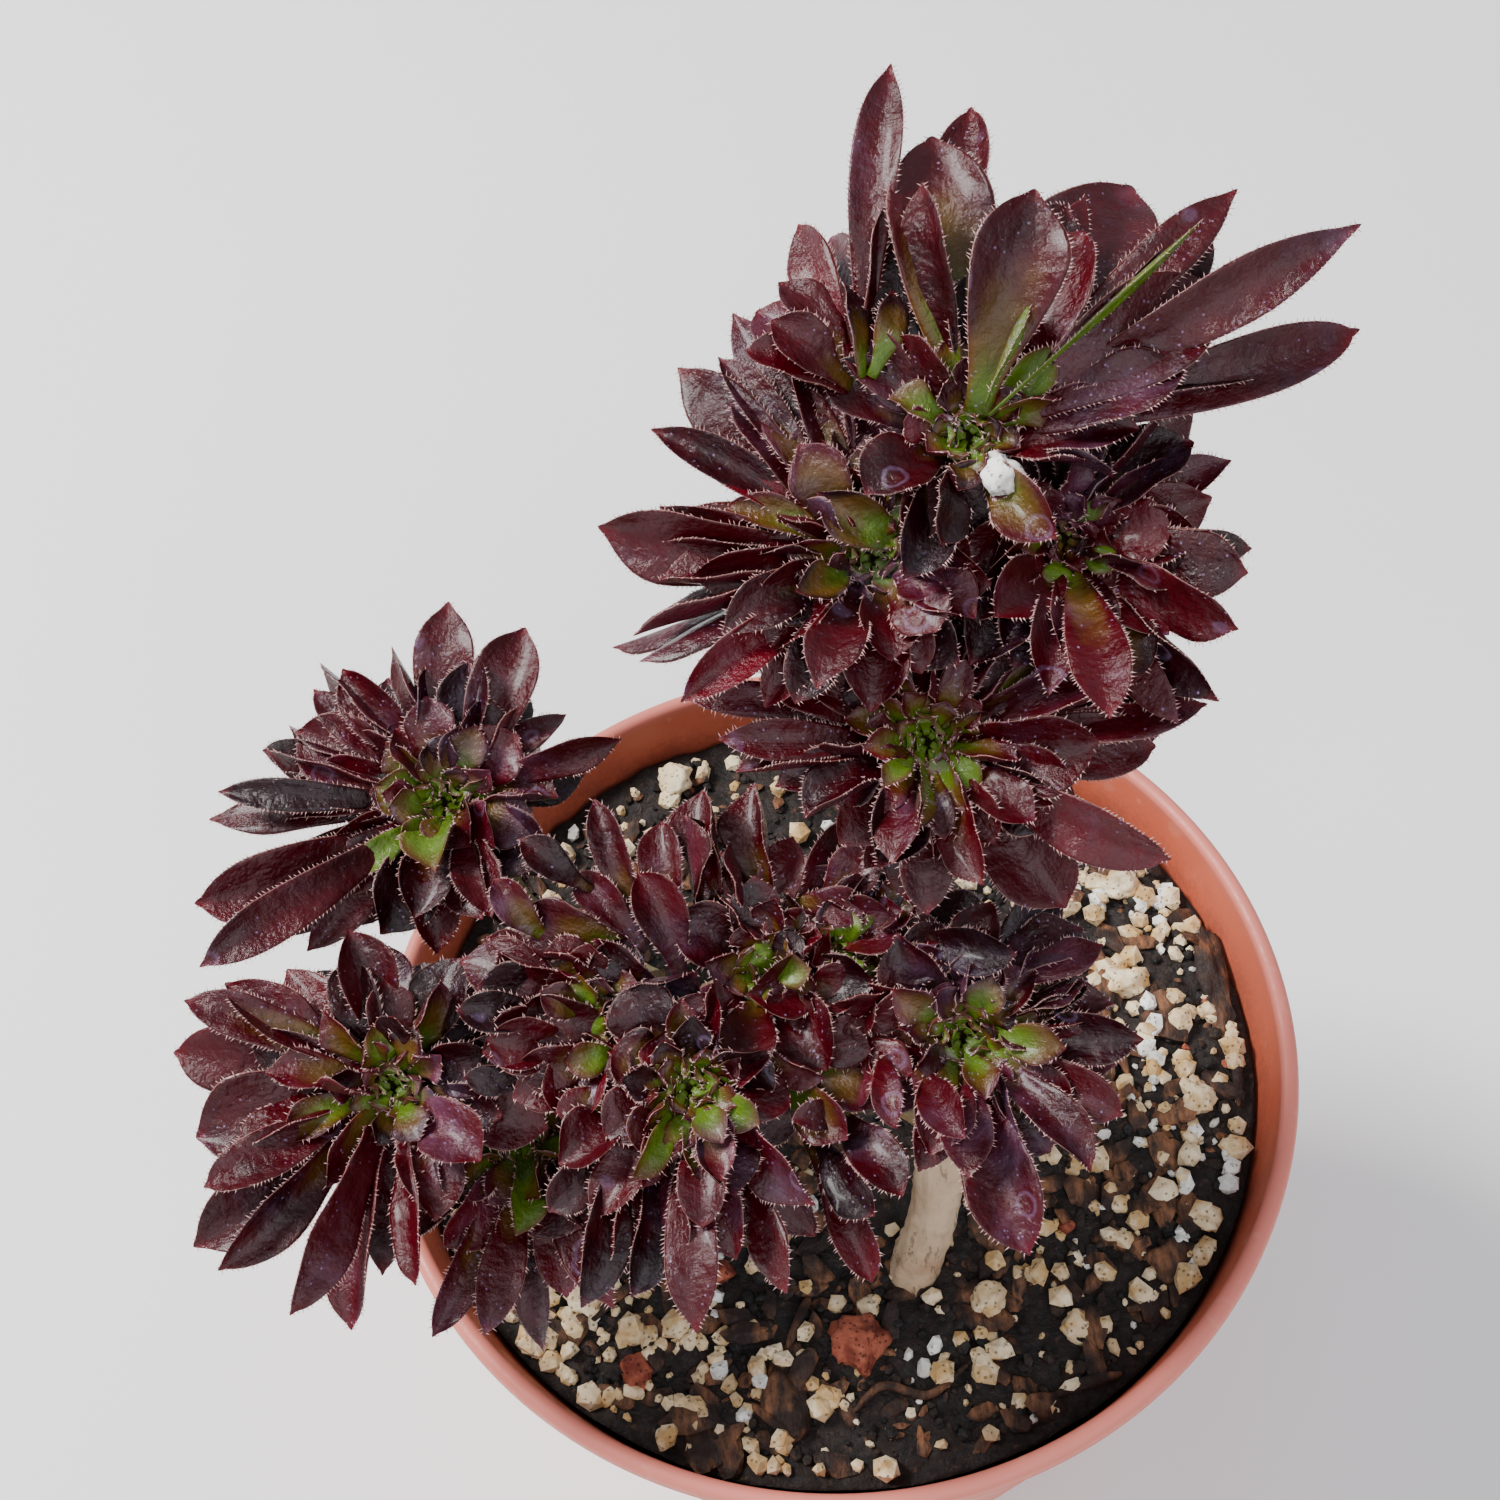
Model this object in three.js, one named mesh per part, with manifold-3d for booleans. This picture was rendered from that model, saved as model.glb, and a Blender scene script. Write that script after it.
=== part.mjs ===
// A crested aeonium in a terracotta-coloured plastic nursery pot.
// Millimetres, +Z up. The origin is the centre of the pot's flat underside.
// Two fan-shaped crests and three side rosettes stand on a woody trunk, in gritty potting mix.
import * as THREE from "three";
import { ConvexGeometry } from "three/addons/geometries/ConvexGeometry.js";
import { mergeVertices } from "three/addons/utils/BufferGeometryUtils.js";
import Module from "manifold-3d";

const wasm = await Module();
wasm.setup();

// Driving dimensions of the pot
const potHeight = 96;
const potRimRadius = 57; // outside of the lip
const potBaseRadius = 39;
const potWall = 1.4;
const lipHeight = 3; // rounded lip at the very top
const lipStand = 0.8; // how far the lip stands out of the wall
const drainHoleRadius = 4;
const drainHoleRing = 27;
const drainHoleCount = 6;

// Driving dimensions of the filling and the plant
const soilDrop = 8; // lip to soil surface
const soilMound = 1.2; // how far the soil rises to the middle
const fitGap = 0.3; // clearance between any two pieces
const trunkRadius = 3.1;
const trunkSunk = 30; // how far the trunk goes down into the soil
const branchRadius = 2.3;
const crestThickness = 3.2; // half the thickness of the flattened stems under the crests
const leafThickness = 1.7;
const leafCup = 0.12; // how far a blade's edges rise, as a share of its width
const leafArch = 0.14; // how far the middle of a blade's arc bends out, as a share of its reach
const hubRadius = 5.4; // the growing tip that a rosette's leaves spring from
const faceTilt = 35; // degrees that the rosettes face away from straight up

// Colours
const terracotta = 0xb5603f;
const burgundy = 0x4a1224;
const burgundyLight = 0x6b2038;
const soilBrown = 0x2b1d16;
const woodTan = 0x9c7a55;
const stemGreen = 0x7c8a4a;
const pumiceCream = 0xd9c9a0;
const perliteWhite = 0xf4f2ec;
const lavaRed = 0xa5543a;
const barkBrown = 0x5a3d28;

const soilTop = potHeight - soilDrop;
const segments = 40;
const shapes = []; // { name, solid, colour, roughness }

// Solids from three.js geometry, and back
function solidFrom(geometry) {
  const bare = geometry.clone();
  bare.deleteAttribute("normal");
  bare.deleteAttribute("uv");
  const merged = mergeVertices(bare, 1e-4);
  const mesh = new wasm.Mesh({
    numProp: 3,
    vertProperties: new Float32Array(merged.attributes.position.array),
    triVerts: new Uint32Array(merged.index.array),
  });
  return new wasm.Manifold(mesh);
}

function geometryFrom(solid) {
  const mesh = solid.getMesh();
  const points = new Float32Array(mesh.numVert * 3);
  for (let i = 0; i < mesh.numVert; i++) {
    points.set(mesh.vertProperties.subarray(i * mesh.numProp, i * mesh.numProp + 3), i * 3);
  }
  const geometry = new THREE.BufferGeometry();
  geometry.setAttribute("position", new THREE.BufferAttribute(points, 3));
  geometry.setIndex(new THREE.BufferAttribute(mesh.triVerts, 1));
  geometry.computeVertexNormals();
  return geometry;
}

function boxesMeet(a, b) {
  const p = a.boundingBox();
  const q = b.boundingBox();
  return [0, 1, 2].every((k) => p.min[k] < q.max[k] && q.min[k] < p.max[k]);
}

// Takes the room of other pieces out of a solid, and keeps its main body.
function clearOf(solid, others) {
  let left = solid;
  for (const other of others) {
    if (boxesMeet(left, other)) {
      left = left.subtract(other);
    }
  }
  const bodies = left.decompose();
  return bodies.reduce((best, body) => (body.volume() > best.volume() ? body : best));
}

function addShape(name, solid, colour, roughness = 0.8) {
  shapes.push({ name, solid, colour, roughness });
}

// Pot: one tapered wall turned about Z, with a rounded lip and drain holes in its floor
const footRound = 1.5;
const lipRound = 0.7;
const wallTopRadius = potRimRadius - lipStand;
function potSolid() {
  const profile = [
    [0, 0],
    [potBaseRadius - footRound, 0],
    [potBaseRadius, footRound],
    [wallTopRadius, potHeight - lipHeight],
    [potRimRadius, potHeight - lipHeight + 0.5],
    [potRimRadius, potHeight - lipRound],
    [potRimRadius - lipRound, potHeight],
    [wallTopRadius - potWall + lipRound, potHeight],
    [wallTopRadius - potWall, potHeight - lipRound],
    [potBaseRadius - potWall + 0.3, potWall + footRound],
    [potBaseRadius - potWall - footRound, potWall],
    [0, potWall],
  ];
  const points = profile.map(([r, z]) => new THREE.Vector2(r, z));
  const turned = new THREE.LatheGeometry(points, segments).rotateX(Math.PI / 2);
  let pot = solidFrom(turned);
  if (pot.volume() < 0) {
    throw new Error("pot profile runs the wrong way");
  }
  for (let i = 0; i < drainHoleCount; i++) {
    const turn = (i / drainHoleCount) * Math.PI * 2;
    const drill = new THREE.CylinderGeometry(drainHoleRadius, drainHoleRadius, 6 * potWall, 16);
    drill.rotateX(Math.PI / 2);
    drill.translate(drainHoleRing * Math.cos(turn), drainHoleRing * Math.sin(turn), 0);
    pot = pot.subtract(solidFrom(drill));
  }
  return pot;
}

// Inside radius of the pot at a height, in the straight part of its wall
function insideRadius(z) {
  const low = potBaseRadius - potWall + 0.3;
  const high = wallTopRadius - potWall;
  const from = potWall + footRound;
  return low + ((high - low) * (z - from)) / (potHeight - lipRound - from);
}

// Potting mix: fills the pot to the soil line, and rises a little to the middle
function soilSolid() {
  const low = potWall + footRound + fitGap;
  const side = fitGap + 0.3;
  const points = [
    [0, potWall + fitGap],
    [potBaseRadius - potWall - footRound - fitGap, potWall + fitGap],
    [insideRadius(low) - side, low],
    [insideRadius(soilTop) - side, soilTop],
    [insideRadius(soilTop) * 0.72, soilTop + 0.5 * soilMound],
    [insideRadius(soilTop) * 0.4, soilTop + 0.9 * soilMound],
    [0, soilTop + soilMound],
  ];
  const profile = points.map(([r, z]) => new THREE.Vector2(r, z));
  return solidFrom(new THREE.LatheGeometry(profile, segments).rotateX(Math.PI / 2));
}

// A limb: convex links between balls [x, y, z, radius], grown by a clearance when asked
function limb(balls, grow = 0) {
  let whole = null;
  for (let i = 0; i + 1 < balls.length; i++) {
    const points = [];
    for (const [x, y, z, r] of [balls[i], balls[i + 1]]) {
      const ball = new THREE.IcosahedronGeometry(r + grow, 0).attributes.position;
      for (let k = 0; k < ball.count; k++) {
        points.push(new THREE.Vector3(ball.getX(k) + x, ball.getY(k) + y, ball.getZ(k) + z));
      }
    }
    const link = solidFrom(new ConvexGeometry(points));
    whole = whole ? whole.add(link) : link;
  }
  return whole;
}

// The plane that the rosettes face: E1 to the right, E2 up the face, and its normal
const tilt = THREE.MathUtils.degToRad(faceTilt);
const faceRight = new THREE.Vector3(1, 0, 0);
const faceUp = new THREE.Vector3(0, Math.cos(tilt), Math.sin(tilt));
const faceOut = new THREE.Vector3(0, -Math.sin(tilt), Math.cos(tilt));

// A point in the face plane of a centre: clock angle in degrees, distance, and height off the plane
function facePoint(centre, clock, distance, out = 0) {
  const turn = THREE.MathUtils.degToRad(clock);
  return centre
    .clone()
    .addScaledVector(faceRight, distance * Math.cos(turn))
    .addScaledVector(faceUp, distance * Math.sin(turn))
    .addScaledVector(faceOut, out);
}

// A leaf blade: cupped diamond sections along a quadratic arc, ending in a point
const singleStations = [
  { along: 0, width: 0.42, thick: 1 },
  { along: 0.42, width: 0.68, thick: 0.95 },
  { along: 0.76, width: 1, thick: 0.75 },
];
const joinedStations = [
  { along: 0, width: 0.45, thick: 1 },
  { along: 0.68, width: 1, thick: 0.8 },
];

const tipGrowth = 8; // clearances added to a grown blade's length, so that its thin tip clears all round
function leafBlade(start, tip, width, stations, grow = 0) {
  const reach = tip.distanceTo(start);
  const bend = start
    .clone()
    .lerp(tip, 0.5)
    .addScaledVector(faceOut, leafArch * reach);
  const arc = new THREE.QuadraticBezierCurve3(start, bend, tip);
  const points = [];
  for (const { along, width: share, thick } of stations) {
    const middle = arc.getPoint(along);
    const heading = arc.getTangent(along);
    if (along === 0) {
      middle.addScaledVector(heading, -grow);
    }
    const across = new THREE.Vector3().crossVectors(faceOut, heading).normalize();
    const above = new THREE.Vector3().crossVectors(heading, across).normalize();
    const half = (width * share) / 2 + grow;
    const deep = (leafThickness * thick) / 2 + grow;
    const lift = leafCup * width * share;
    // corners of the section, to the side and upwards: a grown blade's sharp edges are made blunt
    const plain = [[half, lift], [0, deep], [-half, lift], [0, -deep]];
    const upper = [[half, lift + grow], [0, deep], [-half, lift + grow]];
    const lower = [[-half, lift - grow], [0, -deep], [half, lift - grow]];
    for (const [aside, up] of grow > 0 ? [...upper, ...lower] : plain) {
      points.push(middle.clone().addScaledVector(across, aside).addScaledVector(above, up));
    }
  }
  points.push(tip.clone().addScaledVector(arc.getTangent(1), tipGrowth * grow));
  return solidFrom(loftedGeometry(points, stations.length));
}

// Skin over rings of equally many points and a last single point
function loftedGeometry(points, rings) {
  const sides = (points.length - 1) / rings;
  const faces = [];
  for (let k = 2; k < sides; k++) {
    faces.push(1, (k + 1) % sides, k);
  }
  for (let ring = 0; ring + 1 < rings; ring++) {
    for (let k = 0; k < sides; k++) {
      const a = ring * sides + k;
      const b = ring * sides + ((k + 1) % sides);
      faces.push(a, b, a + sides, b, b + sides, a + sides);
    }
  }
  const last = (rings - 1) * sides;
  for (let k = 0; k < sides; k++) {
    faces.push(last + k, last + ((k + 1) % sides), rings * sides);
  }
  const geometry = new THREE.BufferGeometry();
  geometry.setAttribute(
    "position",
    new THREE.Float32BufferAttribute(points.flatMap((p) => p.toArray()), 3),
  );
  geometry.setIndex(faces);
  return geometry;
}

// How far a blade rises off the face plane by its tip, from its clock angle.
// Blades at the back lie near the plane, and those at the front rise off it.
const sideRise = 12; // degrees
const frontRise = 18;
function tipRise(clock, reach) {
  const degrees = sideRise - frontRise * Math.sin(THREE.MathUtils.degToRad(clock));
  return reach * Math.tan(THREE.MathUtils.degToRad(degrees));
}

// Heads of leaves. centre: x, y and height over the soil. spread: what the leaves' sizes are
// multiplied by. Leaves: clock angle, reach, width.
// single: leaves big enough to be pieces of their own, with their names.
const heads = [
  {
    name: "upper_crest_left",
    centre: [7.6, 12.6, 84],
    spread: 0.93,
    leaves: [
      [167, 28, 7.3], [180, 22, 5], [155, 16, 4.5], [121, 23, 8], [128, 28.7, 6.4], [143, 26, 5],
      [112, 30, 5], [101, 25.6, 5.5], [202, 17.4, 5], [192, 28, 4], [217, 14.4, 6.5],
      [211, 24.5, 4.5], [140, 13, 5],
    ],
    single: [["leaf_upper_left_broad", 80, 22.8, 8.6]],
  },
  {
    name: "upper_crest_back",
    centre: [17.7, 19.3, 92],
    spread: 0.93,
    leaves: [
      [77, 30, 7], [83, 17.7, 6], [47, 25.5, 7.3], [21, 34, 4], [5, 30, 4], [124, 12.7, 8],
      [60, 18, 7], [100, 16, 6],
    ],
    single: [
      ["leaf_top_broad", 84, 32.5, 9.2],
      ["leaf_top_front", 67, 22.4, 8],
      ["leaf_top_right_round", 49, 35.7, 10],
      ["leaf_top_right_narrow", 35, 38, 5.5],
      ["leaf_right_dark", 21, 29, 7.5],
      ["leaf_right_long", 9, 43.8, 5.9],
    ],
  },
  {
    name: "upper_crest_front",
    centre: [11.1, -0.9, 72],
    spread: 0.93,
    leaves: [
      [353, 16.8, 8], [352, 23.7, 6.5], [9, 23.4, 5], [21, 19.7, 6], [333, 15.4, 5.5],
      [244, 12.8, 5], [262, 17.5, 5], [190, 16.4, 4], [173, 21.5, 4], [164, 25, 4],
      [282, 14, 6], [222, 13, 6],
    ],
    single: [["leaf_front_folded", 303, 22.3, 8]],
  },
  {
    name: "upper_crest_right",
    centre: [26.4, 14, 82],
    spread: 0.93,
    leaves: [
      [18, 18.5, 4], [30, 16, 7], [355, 12, 6], [349, 18.7, 4], [328, 13.5, 5], [313, 14, 5],
      [300, 21, 4], [77, 15, 5.5], [60, 17, 5],
    ],
    single: [],
  },
  {
    name: "upper_crest_tuft",
    centre: [8.5, 22.1, 96],
    spread: 0.93,
    leaves: [[103, 20.2, 5], [92, 19, 4], [120, 14, 5], [140, 12, 5]],
    single: [["leaf_tallest", 79, 34.8, 5]],
  },
  {
    name: "rosette_left_back",
    centre: [-41.1, 18.6, 42],
    spread: 1,
    leaves: [
      [102, 15.6, 6.5], [45, 14.6, 4], [30, 16.7, 4], [13, 21.4, 4], [122, 19.4, 5.5],
      [134, 20.2, 4], [149, 19.2, 8], [159, 22.8, 4], [171, 25.6, 4], [180, 27, 5],
      [212, 24.5, 5], [225, 18, 4], [255, 11, 5], [292, 10, 6], [318, 12, 8],
    ],
    single: [
      ["leaf_left_back_top", 84, 23, 6.2],
      ["leaf_left_back_right", 60, 21.8, 7],
      ["leaf_left_back_side", 196, 28.4, 7],
    ],
  },
  {
    name: "rosette_left_front",
    centre: [-47.2, -15.1, 40],
    spread: 1,
    leaves: [
      [143, 21, 4], [125, 14, 5], [232, 20, 5], [262, 19, 4.5], [246, 23.2, 4], [285, 15, 6],
      [60, 13, 5], [20, 12, 6], [90, 12, 5], [320, 12, 6],
    ],
    single: [
      ["leaf_left_front_upper", 166, 24, 6.5],
      ["leaf_left_front_side", 188, 21.3, 8.2],
      ["leaf_left_front_lower", 212, 25.3, 7],
    ],
  },
  {
    name: "lower_crest_left",
    centre: [-25.9, -12, 45],
    spread: 1,
    leaves: [
      [70, 18, 4], [80, 14, 6], [105, 17, 5], [125, 16, 5], [152, 14.5, 6], [178, 14, 5.5],
      [200, 14, 4.5], [215, 12, 4], [95, 20, 4], [250, 10, 5],
    ],
    single: [],
  },
  {
    name: "lower_crest_front",
    centre: [-16, -21.3, 45],
    spread: 1,
    leaves: [
      [185, 13.9, 4], [204, 15.3, 4], [237, 21, 5], [250, 17, 4], [285, 15, 5], [304, 20.8, 5.5],
      [318, 25, 4.5], [330, 23, 4.5], [100, 9, 6], [160, 10, 5], [345, 14, 4],
    ],
    single: [["leaf_lower_front_hanging", 266, 22.8, 5]],
  },
  {
    name: "lower_crest_middle",
    centre: [-6.5, -9.1, 45],
    spread: 1,
    leaves: [[135, 16, 5], [118, 15, 4], [100, 15, 4], [83, 17, 4], [65, 14, 5], [250, 9, 5]],
    single: [],
  },
  {
    name: "lower_crest_back",
    centre: [2.3, -7.2, 45],
    spread: 1,
    leaves: [[100, 12, 5], [75, 14, 6], [50, 14, 5], [25, 14, 6], [5, 13, 5], [300, 9, 5]],
    single: [],
  },
  {
    name: "lower_crest_right",
    centre: [12.6, -17.7, 42],
    spread: 1,
    leaves: [
      [79, 9, 6], [58, 12, 4], [34, 16.8, 4], [24, 17.2, 4], [12, 14, 4], [352, 13, 4],
      [343, 15.8, 5.5], [329, 16, 5], [306, 17.2, 4.5], [223, 12, 4], [165, 13, 4],
      [197, 18, 4], [120, 10, 5],
    ],
    single: [["leaf_lower_right_folded", 279, 21.6, 7]],
  },
  {
    name: "shaded_offset",
    centre: [-35.4, -18, 30],
    spread: 1,
    leaves: [
      [200, 10, 6], [228, 12, 6], [255, 17, 4], [282, 15, 5], [308, 12, 6], [165, 9, 5],
      [90, 8, 5], [340, 10, 5],
    ],
    single: [],
  },
];

for (const head of heads) {
  const [x, y, height] = head.centre;
  head.middle = new THREE.Vector3(x, y, soilTop + height);
}

function headNamed(name) {
  return heads.find((head) => head.name === name);
}

// A ball for a limb, given over the soil
function ballOver(x, y, height, radius) {
  return [x, y, soilTop + height, radius];
}

// A ball tucked behind a head's growing tip
function ballBehind(name, back, radius) {
  const p = facePoint(headNamed(name).middle, 0, 0, -back);
  return [p.x, p.y, p.z, radius];
}

// Stems, from the ground up. Each one is cut clear of those before it.
const tuck = hubRadius + 2.5; // how far behind the growing tips the flattened stems run
const stems = [
  {
    name: "trunk",
    colour: woodTan,
    balls: [
      ballOver(4.5, -30, -trunkSunk, trunkRadius * 1.1),
      ballOver(6, -28.5, -3, trunkRadius),
      ballOver(9.5, -24.5, 12, trunkRadius * 0.9),
      ballOver(10.5, -20, 24, trunkRadius),
    ],
  },
  {
    name: "upper_stem",
    colour: stemGreen,
    balls: [
      ballOver(10.8, -17.5, 27.5, trunkRadius * 0.9),
      ballOver(11, -8, 34.5, trunkRadius * 0.8),
      ballOver(11, -0.5, 44, trunkRadius * 0.8),
      ballOver(11, 3, 56, trunkRadius * 0.85),
      ballBehind("upper_crest_front", tuck, crestThickness),
    ],
  },
  {
    name: "lower_stem",
    colour: stemGreen,
    balls: [
      ballOver(8, -19, 27.5, trunkRadius * 0.75),
      ballOver(0, -13.5, 32, trunkRadius * 0.7),
      ballBehind("lower_crest_middle", tuck, crestThickness),
    ],
  },
  {
    name: "upper_crest_stem",
    colour: stemGreen,
    balls: [
      ballBehind("upper_crest_front", tuck, crestThickness),
      ballBehind("upper_crest_left", tuck, crestThickness),
      ballBehind("upper_crest_tuft", tuck, crestThickness),
      ballBehind("upper_crest_back", tuck, crestThickness),
      ballBehind("upper_crest_right", tuck, crestThickness),
      ballBehind("upper_crest_front", tuck, crestThickness),
    ],
  },
  {
    name: "lower_crest_stem",
    colour: stemGreen,
    balls: [
      ballBehind("lower_crest_left", tuck, crestThickness),
      ballBehind("lower_crest_front", tuck, crestThickness),
      ballBehind("lower_crest_middle", tuck, crestThickness),
      ballBehind("lower_crest_back", tuck, crestThickness),
    ],
  },
  {
    name: "branch_right",
    colour: stemGreen,
    balls: [
      ballOver(11.4, -11.5, 32, branchRadius),
      ballBehind("lower_crest_right", hubRadius * 0.8, branchRadius * 1.1),
    ],
  },
  {
    name: "branch_left_back",
    colour: stemGreen,
    balls: [
      ballOver(-24, -3, 34, branchRadius),
      ballOver(-35, 9, 32, branchRadius),
      ballBehind("rosette_left_back", hubRadius, branchRadius * 1.2),
    ],
  },
  {
    name: "branch_left_front",
    colour: stemGreen,
    balls: [
      ballOver(-28, -6, 34, branchRadius),
      ballOver(-38, -5, 31, branchRadius),
      ballBehind("rosette_left_front", hubRadius, branchRadius * 1.2),
    ],
  },
  {
    name: "branch_offset",
    colour: stemGreen,
    balls: [ballOver(-22, -14, 31, branchRadius), ballBehind("shaded_offset", hubRadius, branchRadius)],
  },
];

const stemRoom = []; // the stems with their clearance
for (const stem of stems) {
  addShape(stem.name, clearOf(limb(stem.balls), stemRoom), stem.colour);
  stemRoom.push(limb(stem.balls, fitGap));
}

// Single leaves, each springing from its head's growing tip
const singleRoom = [];
const singleStart = hubRadius * 0.62;
for (const head of heads) {
  for (const [name, clock, listedReach, listedWidth] of head.single) {
    const reach = listedReach * head.spread;
    const width = listedWidth * head.spread;
    const start = facePoint(head.middle, clock, singleStart);
    const tip = facePoint(head.middle, clock, reach, tipRise(clock, reach));
    const blade = clearOf(leafBlade(start, tip, width, singleStations), [...stemRoom, ...singleRoom]);
    addShape(name, blade, burgundyLight, 0.45);
    singleRoom.push(leafBlade(start, tip, width, singleStations, fitGap));
  }
}

// The half of space on another head's side of the plane midway between two heads
const farSize = 400;
function sideOf(head, other) {
  const across = other.middle.clone().sub(head.middle);
  const midway = across.length() / 2 - fitGap / 2;
  across.normalize();
  const block = new THREE.BoxGeometry(farSize, farSize, farSize);
  block.translate(0, 0, farSize / 2 + midway);
  block.applyQuaternion(
    new THREE.Quaternion().setFromUnitVectors(new THREE.Vector3(0, 0, 1), across),
  );
  block.translate(head.middle.x, head.middle.y, head.middle.z);
  return solidFrom(block);
}

// Leaves joined on the growing tip, with a skirt of lower leaves behind them, kept clear of all else
const skirtCount = 5;
const skirtWidth = 6;
const skirtBack = 0.7 * hubRadius; // how far behind the growing tip it springs
const skirtDroop = 0.45; // share of its reach that it bends back
const leafStart = 0.55 * hubRadius; // how far from the middle of the tip a leaf springs
const skirtReach = 0.62; // share of the head's longest listed leaf
function headSolid(head) {
  const tip = new THREE.IcosahedronGeometry(hubRadius, 1);
  const hub = facePoint(head.middle, 0, 0, -0.6 * hubRadius);
  tip.translate(hub.x, hub.y, hub.z);
  const parts = [solidFrom(tip)];
  for (const [clock, listedReach, listedWidth] of head.leaves) {
    const reach = listedReach * head.spread;
    const width = listedWidth * head.spread;
    const start = facePoint(head.middle, clock, leafStart);
    const end = facePoint(head.middle, clock, reach, tipRise(clock, reach));
    parts.push(leafBlade(start, end, width, joinedStations));
  }
  const longest = head.spread * Math.max(...head.leaves.map((leaf) => leaf[1]));
  for (let i = 0; i < skirtCount; i++) {
    const clock = (360 * (i + 0.35)) / skirtCount;
    const start = facePoint(head.middle, clock, leafStart, -skirtBack);
    const reach = skirtReach * longest;
    const end = facePoint(head.middle, clock, reach, -skirtDroop * reach);
    parts.push(leafBlade(start, end, skirtWidth, joinedStations));
  }
  let whole = wasm.Manifold.union(parts);
  for (const other of heads) {
    if (other !== head) {
      whole = whole.subtract(sideOf(head, other));
    }
  }
  return clearOf(whole, [...stemRoom, ...singleRoom]);
}

for (const head of heads) {
  addShape(head.name, headSolid(head), burgundy, 0.45);
}

// Stones and bark: convex lumps, half sunk in the soil. place: clock angle and share of the soil's radius.
// size: half lengths along, across and up, with the lump turned by turn degrees.
const lumpColours = { lava: lavaRed, bark: barkBrown, pumice: pumiceCream };
const lumps = [
  { name: "lava_stone_large", clock: -91, place: 0.69, size: [4.6, 4, 3], turn: 10 },
  { name: "lava_chip_left", clock: -127, place: 0.86, size: [3, 2.4, 2], turn: 50 },
  { name: "lava_chip_middle", clock: -123, place: 0.58, size: [2.4, 2, 1.8], turn: 0 },
  { name: "bark_chip_front", clock: -104, place: 0.8, size: [6, 3.2, 1.8], turn: 95 },
  { name: "bark_chip_right", clock: 8, place: 0.94, size: [8.5, 2, 1.7], turn: 100 },
  { name: "bark_chip_right_front", clock: -40, place: 0.9, size: [4.5, 2.4, 1.6], turn: 40 },
  { name: "pumice_front", clock: -66, place: 0.68, size: [2.7, 2.4, 2.2], turn: 0 },
  { name: "pumice_front_right", clock: -57, place: 0.83, size: [2.6, 2.2, 2], turn: 60 },
  { name: "pumice_right_low", clock: -31, place: 0.62, size: [3, 2.4, 2.3], turn: 20 },
  { name: "pumice_right", clock: -13, place: 0.86, size: [3.2, 2.6, 2.3], turn: 70 },
  { name: "pumice_right_back", clock: 10, place: 0.74, size: [3.5, 2.8, 2.5], turn: 0 },
  { name: "pumice_back_right", clock: 27, place: 0.86, size: [3.2, 2.6, 2.2], turn: 30 },
  { name: "pumice_back", clock: 110, place: 0.9, size: [3.2, 2.8, 2.4], turn: 80 },
  { name: "pumice_left_front", clock: -140, place: 0.8, size: [2.8, 2.4, 2], turn: 15 },
];

// Directions spread evenly over a ball, with a little unevenness that repeats from lump to lump
const lumpPoints = 14;
const goldenAngle = Math.PI * (3 - Math.sqrt(5));
function lumpSolid(lump, index, grow = 0) {
  const radius = insideRadius(soilTop) * lump.place;
  const clock = THREE.MathUtils.degToRad(lump.clock);
  const turn = THREE.MathUtils.degToRad(lump.turn);
  const points = [];
  for (let i = 0; i < lumpPoints; i++) {
    const height = 1 - (2 * (i + 0.5)) / lumpPoints;
    const ring = Math.sqrt(1 - height * height);
    const uneven = 1 - 0.18 * Math.abs(Math.sin(7.3 * i + 2.1 * index));
    const point = new THREE.Vector3(
      ring * Math.cos(goldenAngle * i) * (lump.size[0] * uneven + grow),
      ring * Math.sin(goldenAngle * i) * (lump.size[1] * uneven + grow),
      height * (lump.size[2] * uneven + grow),
    );
    point.applyAxisAngle(new THREE.Vector3(0, 0, 1), turn);
    point.add(new THREE.Vector3(radius * Math.cos(clock), radius * Math.sin(clock), soilTop));
    points.push(point);
  }
  return solidFrom(new ConvexGeometry(points));
}

const grownLump = 2 * fitGap; // a faceted lump is grown a little more, so that its flats clear too
const lumpRoom = [];
lumps.forEach((lump, index) => {
  const raised = lump.size[2] * 0.25;
  const solid = lumpSolid(lump, index).translate([0, 0, raised]);
  addShape(lump.name, solid, lumpColours[lump.name.split("_")[0]], 0.95);
  lumpRoom.push(lumpSolid(lump, index, grownLump).translate([0, 0, raised]));
});

// A white grain of perlite caught in the top of the upper crest
const grainRadius = 1.5;
const grainPoint = facePoint(headNamed("upper_crest_back").middle, 300, 5, 4.5);
const grain = new THREE.IcosahedronGeometry(grainRadius, 1);
grain.translate(grainPoint.x, grainPoint.y, grainPoint.z);
const headShapes = shapes.filter((shape) => heads.some((head) => head.name === shape.name));
const grainRoom = new THREE.IcosahedronGeometry(grainRadius + fitGap, 1);
grainRoom.translate(grainPoint.x, grainPoint.y, grainPoint.z);
for (const shape of headShapes) {
  shape.solid = clearOf(shape.solid, [solidFrom(grainRoom)]);
}
addShape("perlite_grain", clearOf(solidFrom(grain), singleRoom), perliteWhite, 0.95);

addShape("pot", potSolid(), terracotta, 0.55);
addShape("potting_mix", clearOf(soilSolid(), [stemRoom[0], ...lumpRoom]), soilBrown, 0.95);

const part = new THREE.Group();
part.name = "potted_succulent";
for (const { name, solid, colour, roughness } of shapes) {
  const material = new THREE.MeshStandardMaterial({ color: colour, roughness, metalness: 0 });
  const mesh = new THREE.Mesh(geometryFrom(solid), material);
  mesh.name = name;
  part.add(mesh);
}

export default part;
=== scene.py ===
import math

import bpy
import numpy as np
from mathutils import Matrix, Vector


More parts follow.
